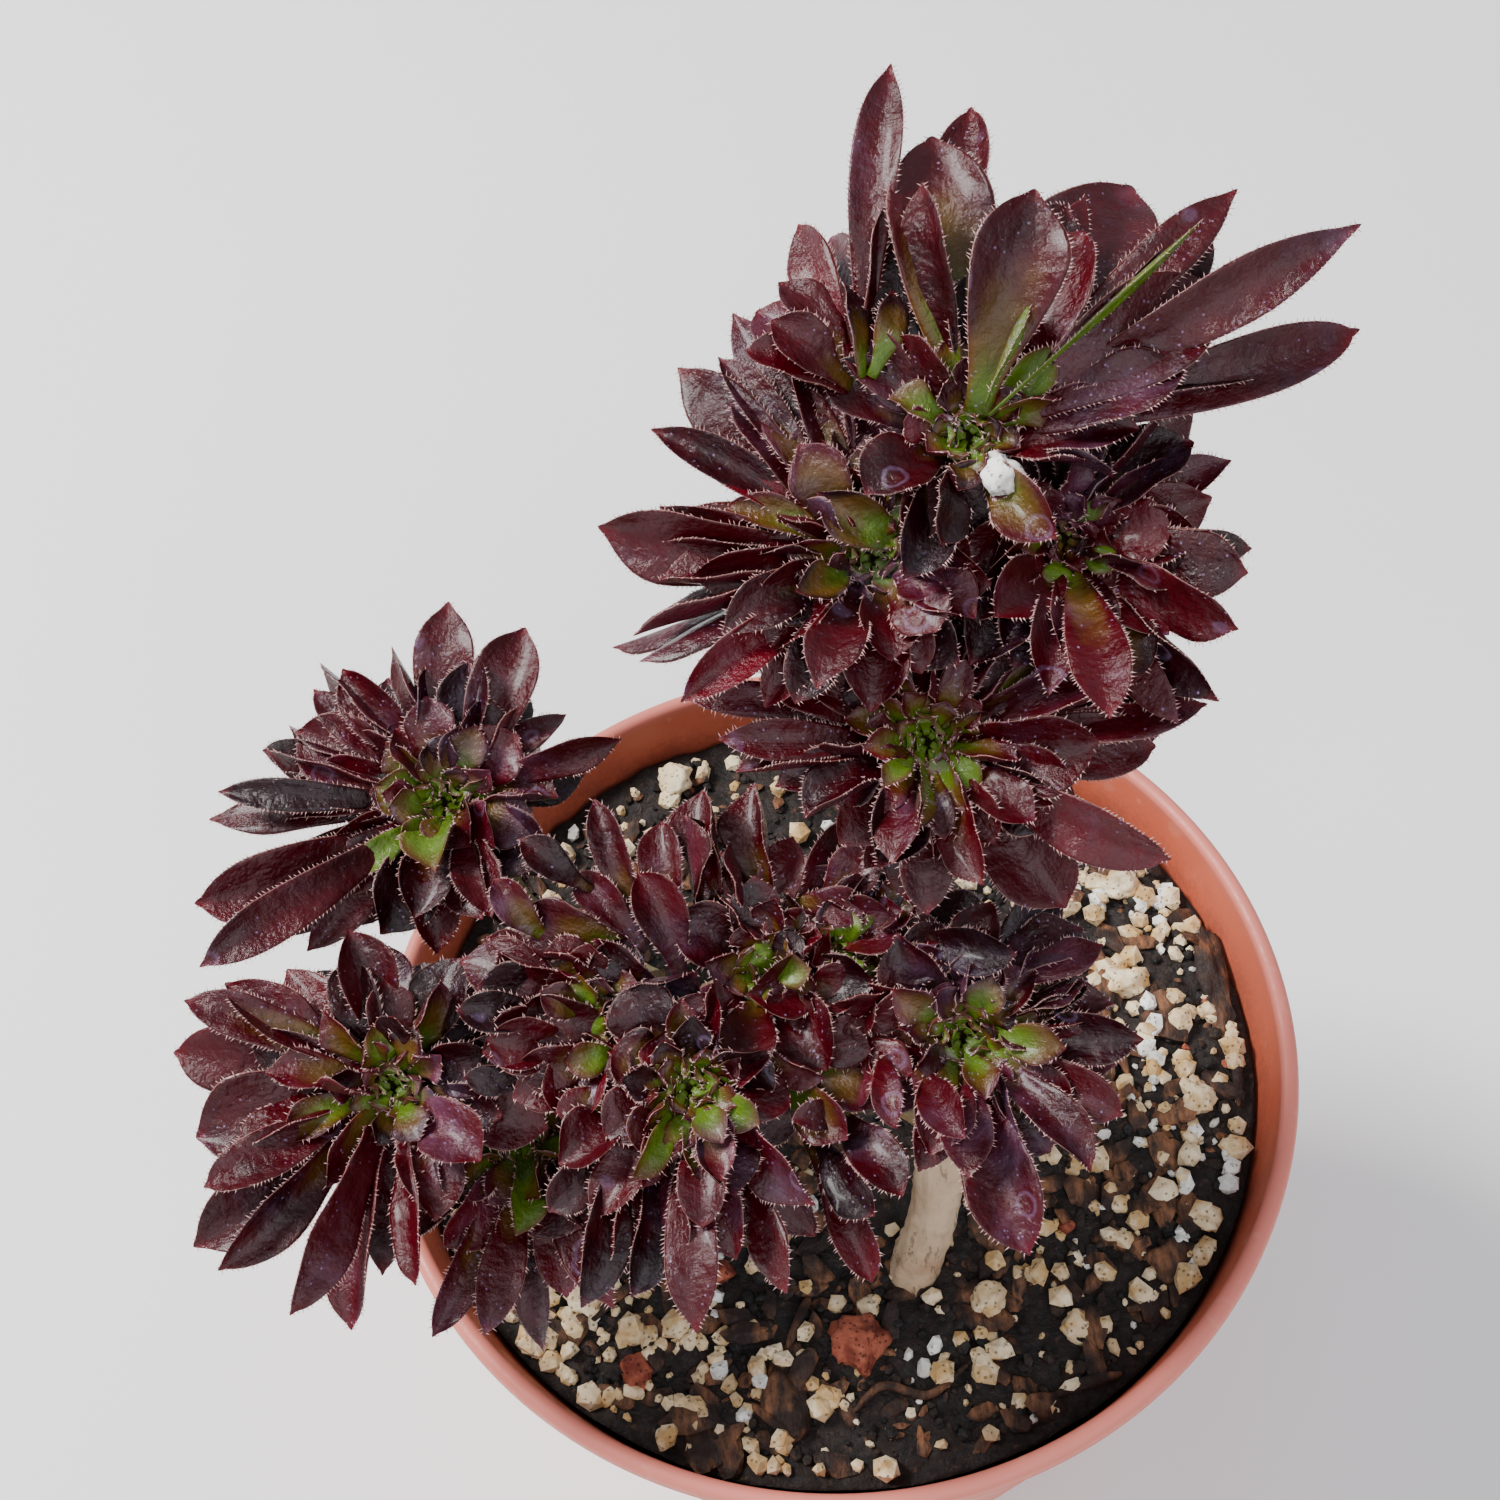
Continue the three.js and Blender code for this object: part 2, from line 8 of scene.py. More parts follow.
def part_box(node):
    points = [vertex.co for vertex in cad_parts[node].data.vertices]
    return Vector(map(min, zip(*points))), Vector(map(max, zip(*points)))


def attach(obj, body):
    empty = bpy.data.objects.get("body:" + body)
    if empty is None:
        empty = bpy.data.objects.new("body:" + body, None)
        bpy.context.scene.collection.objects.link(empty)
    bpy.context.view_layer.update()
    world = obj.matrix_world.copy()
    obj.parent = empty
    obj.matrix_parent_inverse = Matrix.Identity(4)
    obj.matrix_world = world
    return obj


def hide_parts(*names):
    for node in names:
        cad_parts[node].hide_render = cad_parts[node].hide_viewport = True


# A crested dark aeonium in a terracotta-coloured nursery pot. Metres, +Z up, the pot stands on z = 0.
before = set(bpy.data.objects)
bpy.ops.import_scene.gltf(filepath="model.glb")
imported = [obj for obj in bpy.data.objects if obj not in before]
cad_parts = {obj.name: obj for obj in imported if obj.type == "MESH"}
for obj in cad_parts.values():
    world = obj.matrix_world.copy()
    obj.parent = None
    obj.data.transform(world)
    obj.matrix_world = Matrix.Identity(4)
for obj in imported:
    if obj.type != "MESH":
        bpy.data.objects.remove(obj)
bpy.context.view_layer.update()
mm = 0.001
print("frame loaded:", len(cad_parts), "nodes")


def boxOf(node):
    low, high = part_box(node)
    return np.array(low), np.array(high)


def unit(vectors):
    # each vector divided by its own length
    return vectors / np.maximum(np.linalg.norm(vectors, axis=-1, keepdims=True), 1e-12)


def smooth(low, high, value):
    # smoothstep: 3x^2 - 2x^3, with x the share of the way from low to high
    x = np.clip((value - low) / (high - low), 0, 1)
    return x * x * (3 - 2 * x)


def lumpNoise(points, cell, seed):
    # value noise, 0 to 1: random numbers on a cubic lattice, blended with smoothstep weights
    q = np.asarray(points) / cell
    whole = np.floor(q).astype(np.int64)
    part = q - whole
    part = part * part * (3 - 2 * part)
    total = np.zeros(q.shape[:-1])
    for dx in (0, 1):
        for dy in (0, 1):
            for dz in (0, 1):
                h = (whole[..., 0] + dx) * 73856093 ^ (whole[..., 1] + dy) * 19349663
                h = (h ^ (whole[..., 2] + dz) * 83492791 ^ seed * 7919) & 0xFFFFFFFF
                h = ((h ^ (h >> 13)) * 1274126177) & 0xFFFFFFFF
                value = ((h ^ (h >> 16)) & 0xFFFF) / 65535
                wx = part[..., 0] if dx else 1 - part[..., 0]
                wy = part[..., 1] if dy else 1 - part[..., 1]
                wz = part[..., 2] if dz else 1 - part[..., 2]
                total += value * wx * wy * wz
    return total


def smoothPath(points, count):
    # Catmull-Rom curve through the points, sampled at equal steps of its parameter
    p = np.asarray(points, float)
    p = np.vstack([2 * p[0] - p[1], p, 2 * p[-1] - p[-2]])
    s = np.linspace(0, len(p) - 3 - 1e-9, count)
    i = s.astype(int)
    t = (s - i)[:, None]
    a, b, c, d = p[i], p[i + 1], p[i + 2], p[i + 3]
    curve = 2 * b + (c - a) * t + (2 * a - 5 * b + 4 * c - d) * t**2
    return 0.5 * (curve + (3 * b - a - 3 * c + d) * t**3)


def fullTurn(count):
    # count equal angles round a circle
    return np.linspace(0, 2 * np.pi, count, endpoint=False)


def ringsAlong(middle, one, two, size, turn, flat=1.0):
    # a ring about each path point: middle + size * (cos(turn) * one + flat * sin(turn) * two)
    ring = middle[:, None, :] + (size * np.cos(turn))[..., None] * one[:, None, :]
    return ring + (size * np.sin(turn))[..., None] * two[:, None, :] * flat


def gridFaces(rows, columns, first=0):
    # quads of a grid whose columns close on themselves
    r, c = np.meshgrid(np.arange(rows - 1), np.arange(columns), indexing="ij")
    a = first + r * columns + c
    b = first + r * columns + (c + 1) % columns
    return np.stack([a, b, b + columns, a + columns], -1).reshape(-1, 4)


def poleFans(rows, columns, lowPole, highPole, first=0):
    # triangles from one pole point to the grid's first ring and from its last ring to the other pole
    a = np.arange(columns)
    b = (a + 1) % columns
    last = first + (rows - 1) * columns
    low = np.stack([np.full(columns, lowPole), first + b, first + a], 1)
    high = np.stack([last + a, last + b, np.full(columns, highPole)], 1)
    return np.concatenate([low, high])


def makePiece(name, verts, faces, materials, replaced=(), faceMaterial=None, uv=None, info=None,
              rounded=True):
    # a mesh object on the root body, with its slot and the CAD nodes that it replaces
    mesh = bpy.data.meshes.new(name)
    mesh.from_pydata(np.asarray(verts).reshape(-1, 3).tolist(), [], [list(f) for f in faces])
    mesh.polygons.foreach_set("use_smooth", np.full(len(mesh.polygons), rounded))
    for material in materials:
        mesh.materials.append(material)
    if faceMaterial is not None:
        mesh.polygons.foreach_set("material_index", np.asarray(faceMaterial, np.int32))
    if uv is not None:
        corners = np.zeros(len(mesh.loops), np.int32)
        mesh.loops.foreach_get("vertex_index", corners)
        layer = mesh.uv_layers.new(name="bladeMap")
        layer.data.foreach_set("uv", np.asarray(uv)[corners].ravel())
    if info is not None:
        layer = mesh.color_attributes.new("bladeInfo", "FLOAT_COLOR", "POINT")
        layer.data.foreach_set("color", np.asarray(info, np.float32).ravel())
    mesh.update()
    piece = bpy.data.objects.new(name, mesh)
    bpy.context.scene.collection.objects.link(piece)
    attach(piece, "root")
    if replaced:
        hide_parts(*replaced)
    return piece


def colour(red, green, blue):
    # screen colour 0 to 255 turned to linear light
    return tuple(((c / 255) ** 2.2) for c in (red, green, blue)) + (1.0,)


class Nodes:
    # short ways to add and join the nodes of one tree
    def __init__(self, tree):
        self.tree = tree

    def add(self, kind, settings=None, **inputs):
        node = self.tree.nodes.new(kind)
        for key, value in (settings or {}).items():
            setattr(node, key, value)
        for key, value in inputs.items():
            self.put(node, key, value)
        return node

    def put(self, node, key, value):
        socket = node.inputs[key]  # by name or by number
        if isinstance(value, bpy.types.NodeSocket):
            self.tree.links.new(value, socket)
        else:
            socket.default_value = value

    def math(self, operation, a, b=0.0):
        node = self.add("ShaderNodeMath", {"operation": operation})
        self.put(node, 0, a)
        self.put(node, 1, b)
        return node.outputs[0]

    def times(self, a, b):
        return self.math("MULTIPLY", a, b)

    def plus(self, a, b):
        return self.math("ADD", a, b)

    def less(self, a, b):
        return self.math("SUBTRACT", a, b)

    def mix(self, factor, a, b):
        node = self.add("ShaderNodeMix", {"data_type": "RGBA"})
        self.put(node, 0, factor)
        self.put(node, 6, a)
        self.put(node, 7, b)
        return node.outputs[2]

    def cover(self, skin, mask, amount, paint):
        # lays a colour over the skin where the mask is, as strong as mask * amount
        return self.mix(self.times(mask, amount), skin, paint)

    def steps(self, value, low, high, toLow=0.0, toHigh=1.0):
        node = self.add("ShaderNodeMapRange", {"interpolation_type": "SMOOTHSTEP"})
        for key, item in enumerate((value, low, high, toLow, toHigh)):
            self.put(node, key, item)
        return node.outputs[0]

    def noise(self, scale, detail, rough=0.5, vector=None):
        node = self.add("ShaderNodeTexNoise", Scale=scale, Detail=detail, Roughness=rough)
        self.put(node, "Vector", vector or self.place())
        return node.outputs["Fac"]

    def place(self):
        return self.add("ShaderNodeTexCoord").outputs["Object"]

    def stretched(self, *scale):
        # Object coordinates drawn out along an axis, for a pattern with a grain
        node = self.add("ShaderNodeMapping", {"vector_type": "POINT"}, Vector=self.place(), Scale=scale)
        return node.outputs[0]


def newGroup(name, inputs, outputs):
    tree = bpy.data.node_groups.new(name, "ShaderNodeTree")
    for label, kind, value in inputs:
        socket = tree.interface.new_socket(label, in_out="INPUT", socket_type=kind)
        socket.default_value = value
    for label, kind in outputs:
        tree.interface.new_socket(label, in_out="OUTPUT", socket_type=kind)
    nodes = Nodes(tree)
    return tree, nodes, nodes.add("NodeGroupInput").outputs, nodes.add("NodeGroupOutput")


floatSocket = "NodeSocketFloat"


def makeGrainGroup():
    # grain: fine and coarse noise together, as a 0 to 1 mask and a height
    tree, n, given, out = newGroup(
        "grain",
        [("Scale", floatSocket, 1000.0), ("Coarse", floatSocket, 0.5)],
        [("Mask", floatSocket), ("Height", floatSocket)],
    )
    fine = n.noise(given["Scale"], 4.0, 0.6)
    coarse = n.noise(n.times(given["Scale"], 0.18), 3.0, 0.5)
    both = n.add("ShaderNodeMix", {"data_type": "FLOAT"})
    n.put(both, 0, given["Coarse"])
    n.put(both, 2, fine)
    n.put(both, 3, coarse)
    n.put(out, "Mask", n.steps(both.outputs[0], 0.35, 0.65))
    n.put(out, "Height", both.outputs[0])
    return tree


def makeSplashGroup():
    # splash: dried water rings and small pale specks, each as a 0 to 1 mask
    tree, n, given, out = newGroup(
        "splash",
        [("Ring scale", floatSocket, 210.0), ("Speck scale", floatSocket, 900.0)],
        [("Rings", floatSocket), ("Specks", floatSocket)],
    )
    cells = n.add("ShaderNodeTexVoronoi", {"feature": "F1"}, Scale=given["Ring scale"], Randomness=1.0)
    n.put(cells, "Vector", n.place())
    wobble = n.times(n.noise(700.0, 2.0), 0.09)
    distance = n.plus(cells.outputs["Distance"], wobble)
    rim = n.times(n.steps(distance, 0.19, 0.235), n.steps(distance, 0.3, 0.25))
    picked = n.add("ShaderNodeSeparateColor")
    n.put(picked, 0, cells.outputs["Color"])
    some = n.steps(picked.outputs[0], 0.62, 0.7)
    n.put(out, "Rings", n.times(rim, some))
    dots = n.add("ShaderNodeTexVoronoi", {"feature": "F1"}, Scale=given["Speck scale"], Randomness=1.0)
    n.put(dots, "Vector", n.place())
    dotPick = n.add("ShaderNodeSeparateColor")
    n.put(dotPick, 0, dots.outputs["Color"])
    ragged = n.times(n.noise(3600.0, 2.0), 0.32)
    near = n.steps(n.plus(dots.outputs["Distance"], ragged), 0.4, 0.26)
    near = n.times(near, n.steps(dotPick.outputs[1], 0.55, 0.7))
    n.put(out, "Specks", n.times(near, n.steps(n.noise(110.0, 3.0), 0.42, 0.6)))
    return tree


grainGroup = makeGrainGroup()
splashGroup = makeSplashGroup()


def useGroup(n, tree, **inputs):
    node = n.add("ShaderNodeGroup", {"node_tree": tree})
    for key, value in inputs.items():
        n.put(node, key.replace("_", " "), value)
    return node.outputs


def newMaterial(name, roughness, **constants):
    material = bpy.data.materials.new(name)
    material.use_nodes = True
    n = Nodes(material.node_tree)
    shader = material.node_tree.nodes["Principled BSDF"]
    shader.inputs["Roughness"].default_value = roughness
    for key, value in constants.items():
        shader.inputs[key.replace("_", " ")].default_value = value
    return material, n, shader


def bump(n, shader, height, distance, strength):
    node = n.add("ShaderNodeBump", Strength=strength, Distance=distance)
    n.put(node, "Height", height)
    n.put(shader, "Normal", node.outputs[0])


leafColours = {
    "burgundy": colour(66, 6, 18),
    "burgundyBright": colour(104, 12, 30),
    "nearBlack": colour(34, 4, 13),
    "olive": colour(82, 58, 22),
    "green": colour(98, 124, 34),
    "greenDeep": colour(52, 70, 20),
    "underside": colour(98, 44, 58),
    "margin": colour(206, 150, 138),
    # pale lavender for dried water marks, specks and dust, also laid on as a painted sheen
    "bloomAndSheen": colour(176, 150, 200),
    "hairDark": colour(186, 120, 122),
    "hairPale": colour(226, 198, 190),
}


def makeLeafMaterial():
    c = leafColours
    material, n, shader = newMaterial(
        "leafSkin", 0.36, Specular_IOR_Level=0.32, Coat_Weight=0.1, Coat_Roughness=0.12
    )
    mapped = n.add("ShaderNodeUVMap", {"uv_map": "bladeMap"})
    split = n.add("ShaderNodeSeparateXYZ")
    n.put(split, 0, mapped.outputs[0])
    along, side = split.outputs[0], split.outputs[1]
    info = n.add("ShaderNodeSeparateColor")
    n.put(info, 0, n.add("ShaderNodeVertexColor", {"layer_name": "bladeInfo"}).outputs[0])
    tone, green, under = info.outputs[0], info.outputs[1], info.outputs[2]
    patch = n.noise(130.0, 4.0, 0.6)
    # dark skin: near black, then burgundy, then bright burgundy, by the leaf's own tone and soft patches
    toneHere = n.plus(tone, n.times(n.less(patch, 0.5), 0.9))
    dark = n.mix(n.steps(toneHere, 0.1, 0.5), c["nearBlack"], c["burgundy"])
    dark = n.mix(n.steps(toneHere, 0.5, 1.0, 0.0, 0.6), dark, c["burgundyBright"])
    # green heart: strong at the base of young leaves, fading through olive to the tip
    fade = n.less(n.times(green, 1.7), n.times(along, 1.15))
    fade = n.plus(fade, n.times(n.less(n.noise(260.0, 3.0), 0.5), 0.5))
    edge = n.times(n.math("ABSOLUTE", n.less(side, 0.5)), 2.0)
    fade = n.less(fade, n.times(n.math("POWER", edge, 3.0), 0.42))
    skin = n.mix(n.steps(fade, 0.05, 0.42), dark, c["olive"])
    skin = n.mix(n.steps(fade, 0.4, 0.85), skin, n.mix(patch, c["greenDeep"], c["green"]))
    # underside is paler and mauve, more so towards the base
    pale = n.times(n.steps(under, 0.55, 0.9), n.steps(along, 1.0, 0.2, 0.12, 0.5))
    skin = n.mix(pale, skin, c["underside"])
    # flushed tip and pale hairy margin
    tip = n.times(n.steps(along, 0.9, 1.0), 0.5)
    skin = n.mix(tip, skin, c["burgundyBright"])
    margin = n.times(n.steps(edge, 0.965, 0.995), n.steps(along, 0.06, 0.2))
    skin = n.cover(skin, margin, 0.48, c["margin"])
    marks = useGroup(n, splashGroup, Ring_scale=170.0, Speck_scale=1500.0)
    skin = n.cover(skin, marks["Rings"], 0.1, c["bloomAndSheen"])
    skin = n.cover(skin, marks["Specks"], 0.4, c["bloomAndSheen"])
    # soft dust patches in pale lavender, partly real dust and partly a painted sheen, also rougher
    dustAndSheen = n.steps(n.noise(85.0, 5.0, 0.65), 0.52, 0.78)
    skin = n.cover(skin, dustAndSheen, 0.09, c["bloomAndSheen"])
    n.put(shader, "Base Color", skin)
    grain = useGroup(n, grainGroup, Scale=2600.0, Coarse=0.35)
    shine = n.plus(0.17, n.times(grain["Mask"], 0.1))
    shine = n.plus(shine, n.times(dustAndSheen, 0.14))
    n.put(shader, "Roughness", shine)
    # fine lengthwise lines on the skin, with grain over them
    lines = n.math("SINE", n.times(edge, 46.0))
    height = n.plus(grain["Height"], n.times(lines, 0.015))
    height = n.plus(height, n.times(n.noise(420.0, 2.0), 2.6))
    bump(n, shader, height, 0.0003, 0.8)
    return material


def makeHairMaterial():
    material, n, shader = newMaterial("leafHair", 0.45)
    shade = n.noise(900.0, 2.0)
    n.put(shader, "Base Color", n.mix(shade, leafColours["hairDark"], leafColours["hairPale"]))
    return material


leafSkin = makeLeafMaterial()
leafHair = makeHairMaterial()
print("leaf materials made")

# the plane that the heads face, tilted back from upright
faceTilt = math.radians(35)
faceRight = np.array([1.0, 0, 0])
faceUp = np.array([0, math.cos(faceTilt), math.sin(faceTilt)])
faceOut = np.array([0, -math.sin(faceTilt), math.cos(faceTilt)])
soilMound = 1.2 * mm
soilTop = boxOf("potting_mix")[1][2] - soilMound


def onFace(clock, reach, out=0.0):
    # offset in the face plane from a clock angle in degrees and a distance, lifted off the plane
    a = np.radians(np.asarray(clock, float))[..., None]
    reach = np.asarray(reach, float)[..., None]
    out = np.asarray(out, float)[..., None]
    return reach * (np.cos(a) * faceRight + np.sin(a) * faceUp) + out * faceOut


bladeShape = {
    "rings": 18,  # along
    "ringPoints": 14,  # around
    "peak": 0.69,  # where the blade is widest
    "pointShare": 0.93,  # the round end stops here and a small point goes on
    "baseShare": 0.3,  # width at its foot
    "thickness": 1.5 * mm,
    "hairStep": 0.62 * mm,
    "hairLength": 0.62 * mm,
    "hairWidth": 0.085 * mm,
    "longest": 34 * mm,  # the leaf length that sets how many hairs a margin has room for
}


def bladeSurface(blades, t, theta):
    # A quadratic arc from start over bend to tip carries a lens-shaped ring. The half width grows as
    # sin^2.1 up to its peak, closes as (1 - x^p)^q and ends in a small straight-sided point. The ring's
    # height is cup * v^2 + fold * |v| + ripple, less a channel on the midrib, plus thickness * sin(theta).
    s = bladeShape
    start, bend, tip = (blades[k][:, None, :] for k in ("start", "bend", "tip"))
    tt = t[None, :, None]
    middle = (1 - tt) ** 2 * start + 2 * tt * (1 - tt) * bend + tt**2 * tip
    heading = unit(2 * (1 - tt) * (bend - start) + 2 * tt * (tip - bend) + 1e-9)
    across = unit(np.cross(np.broadcast_to(blades["out"][:, None, :], heading.shape), heading))
    above = np.cross(heading, across)
    roll = blades["roll"][:, None] + blades["twist"][:, None] * t[None, :]
    cosR, sinR = np.cos(roll)[..., None], np.sin(roll)[..., None]
    across, above = cosR * across + sinR * above, -sinR * across + cosR * above
    swell = np.sin(np.pi / 2 * np.clip(t / s["peak"], 0, 1)) ** 2.1
    rise = s["baseShare"] + (1 - s["baseShare"]) * swell
    x = np.clip((t - s["peak"]) / (1 - s["peak"]), 0, 1)
    inner = np.clip(x / s["pointShare"], 0, 1)[None, :] ** blades["round"][:, None]
    smallPoint = np.minimum(0.15, 2.1 * (1 - x))[None, :]
    close = np.maximum((1 - inner) ** blades["point"][:, None], smallPoint)
    half = blades["width"][:, None] / 2 * rise[None, :] * close
    v = np.cos(theta)[None, None, :]
    halfV = half[..., None]
    cup = blades["cup"][:, None, None] * smooth(0.05, 0.6, t)[None, :, None]
    fold = blades["fold"][:, None, None]
    ripple = 0.11 * np.sin(2 * np.pi * (2.3 * t[None, :] + blades["phase"][:, None]))[..., None]
    lift = halfV * (cup * v**2 + fold * np.abs(v) + ripple * np.abs(v) ** 3 * np.sign(v))
    lift = lift - 0.1 * halfV * np.exp(-((v / 0.16) ** 2)) * np.clip(np.sin(theta), 0, 1)[None, None, :]
    thick = s["thickness"] / 2 * (1.15 - 0.75 * t) * np.minimum(1, 0.12 + 3.2 * (1 - t))
    thickHere = np.minimum(thick[None, :], 0.45 * half + 0.02 * mm)
    lift = lift + thickHere[..., None] * np.sin(theta)[None, None, :]
    point = middle[:, :, None, :] + across[:, :, None, :] * (halfV * v)[..., None]
    point = point + above[:, :, None, :] * lift[..., None]
    return point, heading, across, above


def bladeMesh(blades):
    # rings at t = 1 - (1 - u)^1.6, closest at the tip, closed by one point at the foot and one at the tip
    s = bladeShape
    count = len(blades["width"])
    u = np.linspace(0, 1, s["rings"] + 1)
    t = 1 - (1 - u) ** 1.6
    theta = fullTurn(s["ringPoints"])
    body = bladeSurface(blades, t[:-1], theta)[0]
    foot = body[:, 0].mean(1, keepdims=True)
    verts = np.concatenate([foot, body.reshape(count, -1, 3), blades["tip"][:, None, :]], 1)
    each = verts.shape[1]
    rows = s["rings"]
    quads = gridFaces(rows, s["ringPoints"], 1)
    fans = poleFans(rows, s["ringPoints"], 0, each - 1, 1)
    offsets = (np.arange(count) * each)[:, None, None]
    faces = (quads[None] + offsets).reshape(-1, 4).tolist()
    faces += (fans[None] + offsets).reshape(-1, 3).tolist()
    uvBody = np.stack(np.broadcast_arrays(t[:-1, None], 0.5 + 0.5 * np.cos(theta)[None, :]), -1)
    uvOne = np.vstack([[0, 0.5], uvBody.reshape(-1, 2), [1, 0.5]])
    uv = np.tile(uvOne, (count, 1))
    underOne = np.concatenate([[0.5], np.tile(0.5 - 0.5 * np.sin(theta), rows), [0.5]])
    info = np.ones((count, each, 4))
    info[..., 0] = blades["tone"][:, None]
    info[..., 1] = blades["green"][:, None]
    info[..., 2] = underOne[None, :]
    return verts.reshape(-1, 3), faces, uv, info.reshape(-1, 4)


def hairMesh(blades, rng):
    # thin three-sided spikes on both edges, leaning along across + 0.55 * heading + 0.25 * above + noise
    s = bladeShape
    steps = int(s["longest"] / s["hairStep"])
    t = np.linspace(0.1, 0.985, steps)
    roots, heading, across, above = bladeSurface(blades, t, np.array([0, np.pi]))
    length = np.linalg.norm(blades["tip"] - blades["start"], axis=1)
    wanted = np.clip(length / s["hairStep"] / steps, 0.1, 1)
    keep = rng.random(roots.shape[:3]) < wanted[:, None, None] * 0.95
    side = np.array([1.0, -1.0])[None, None, :, None]
    out = side * across[:, :, None, :] + 0.55 * heading[:, :, None, :] + 0.25 * above[:, :, None, :]
    out = unit(out + 0.35 * rng.normal(size=out.shape))[keep]
    root = roots[keep] - out * 0.1 * mm
    size = s["hairLength"] * (0.55 + 0.6 * rng.random(len(root)))[:, None]
    one = unit(np.cross(out, faceOut + 0.01))
    two = np.cross(out, one)
    turns = fullTurn(3)
    ring = root[:, None, :] + s["hairWidth"] * (
        np.cos(turns)[None, :, None] * one[:, None, :] + np.sin(turns)[None, :, None] * two[:, None, :]
    )
    verts = np.concatenate([ring, (root + out * size)[:, None, :]], 1)
    spike = np.array([[0, 1, 3], [1, 2, 3], [2, 0, 3], [0, 2, 1]])
    faces = (spike[None] + (np.arange(len(root)) * 4)[:, None, None]).reshape(-1, 3)
    return verts.reshape(-1, 3), faces


def makeLeaves(name, blades, rng, replaced):
    verts, faces, uv, info = bladeMesh(blades)
    hairVerts, hairFaces = hairMesh(blades, rng)
    kinds = np.concatenate([np.zeros(len(faces), int), np.ones(len(hairFaces), int)])
    faces = faces + (hairFaces + len(verts)).tolist()
    extra = len(hairVerts)
    uv = np.vstack([uv, np.zeros((extra, 2))])
    info = np.vstack([info, np.ones((extra, 4))])
    allVerts = np.vstack([verts, hairVerts])
    makePiece(name, allVerts, faces, [leafSkin, leafHair], replaced, kinds, uv, info)


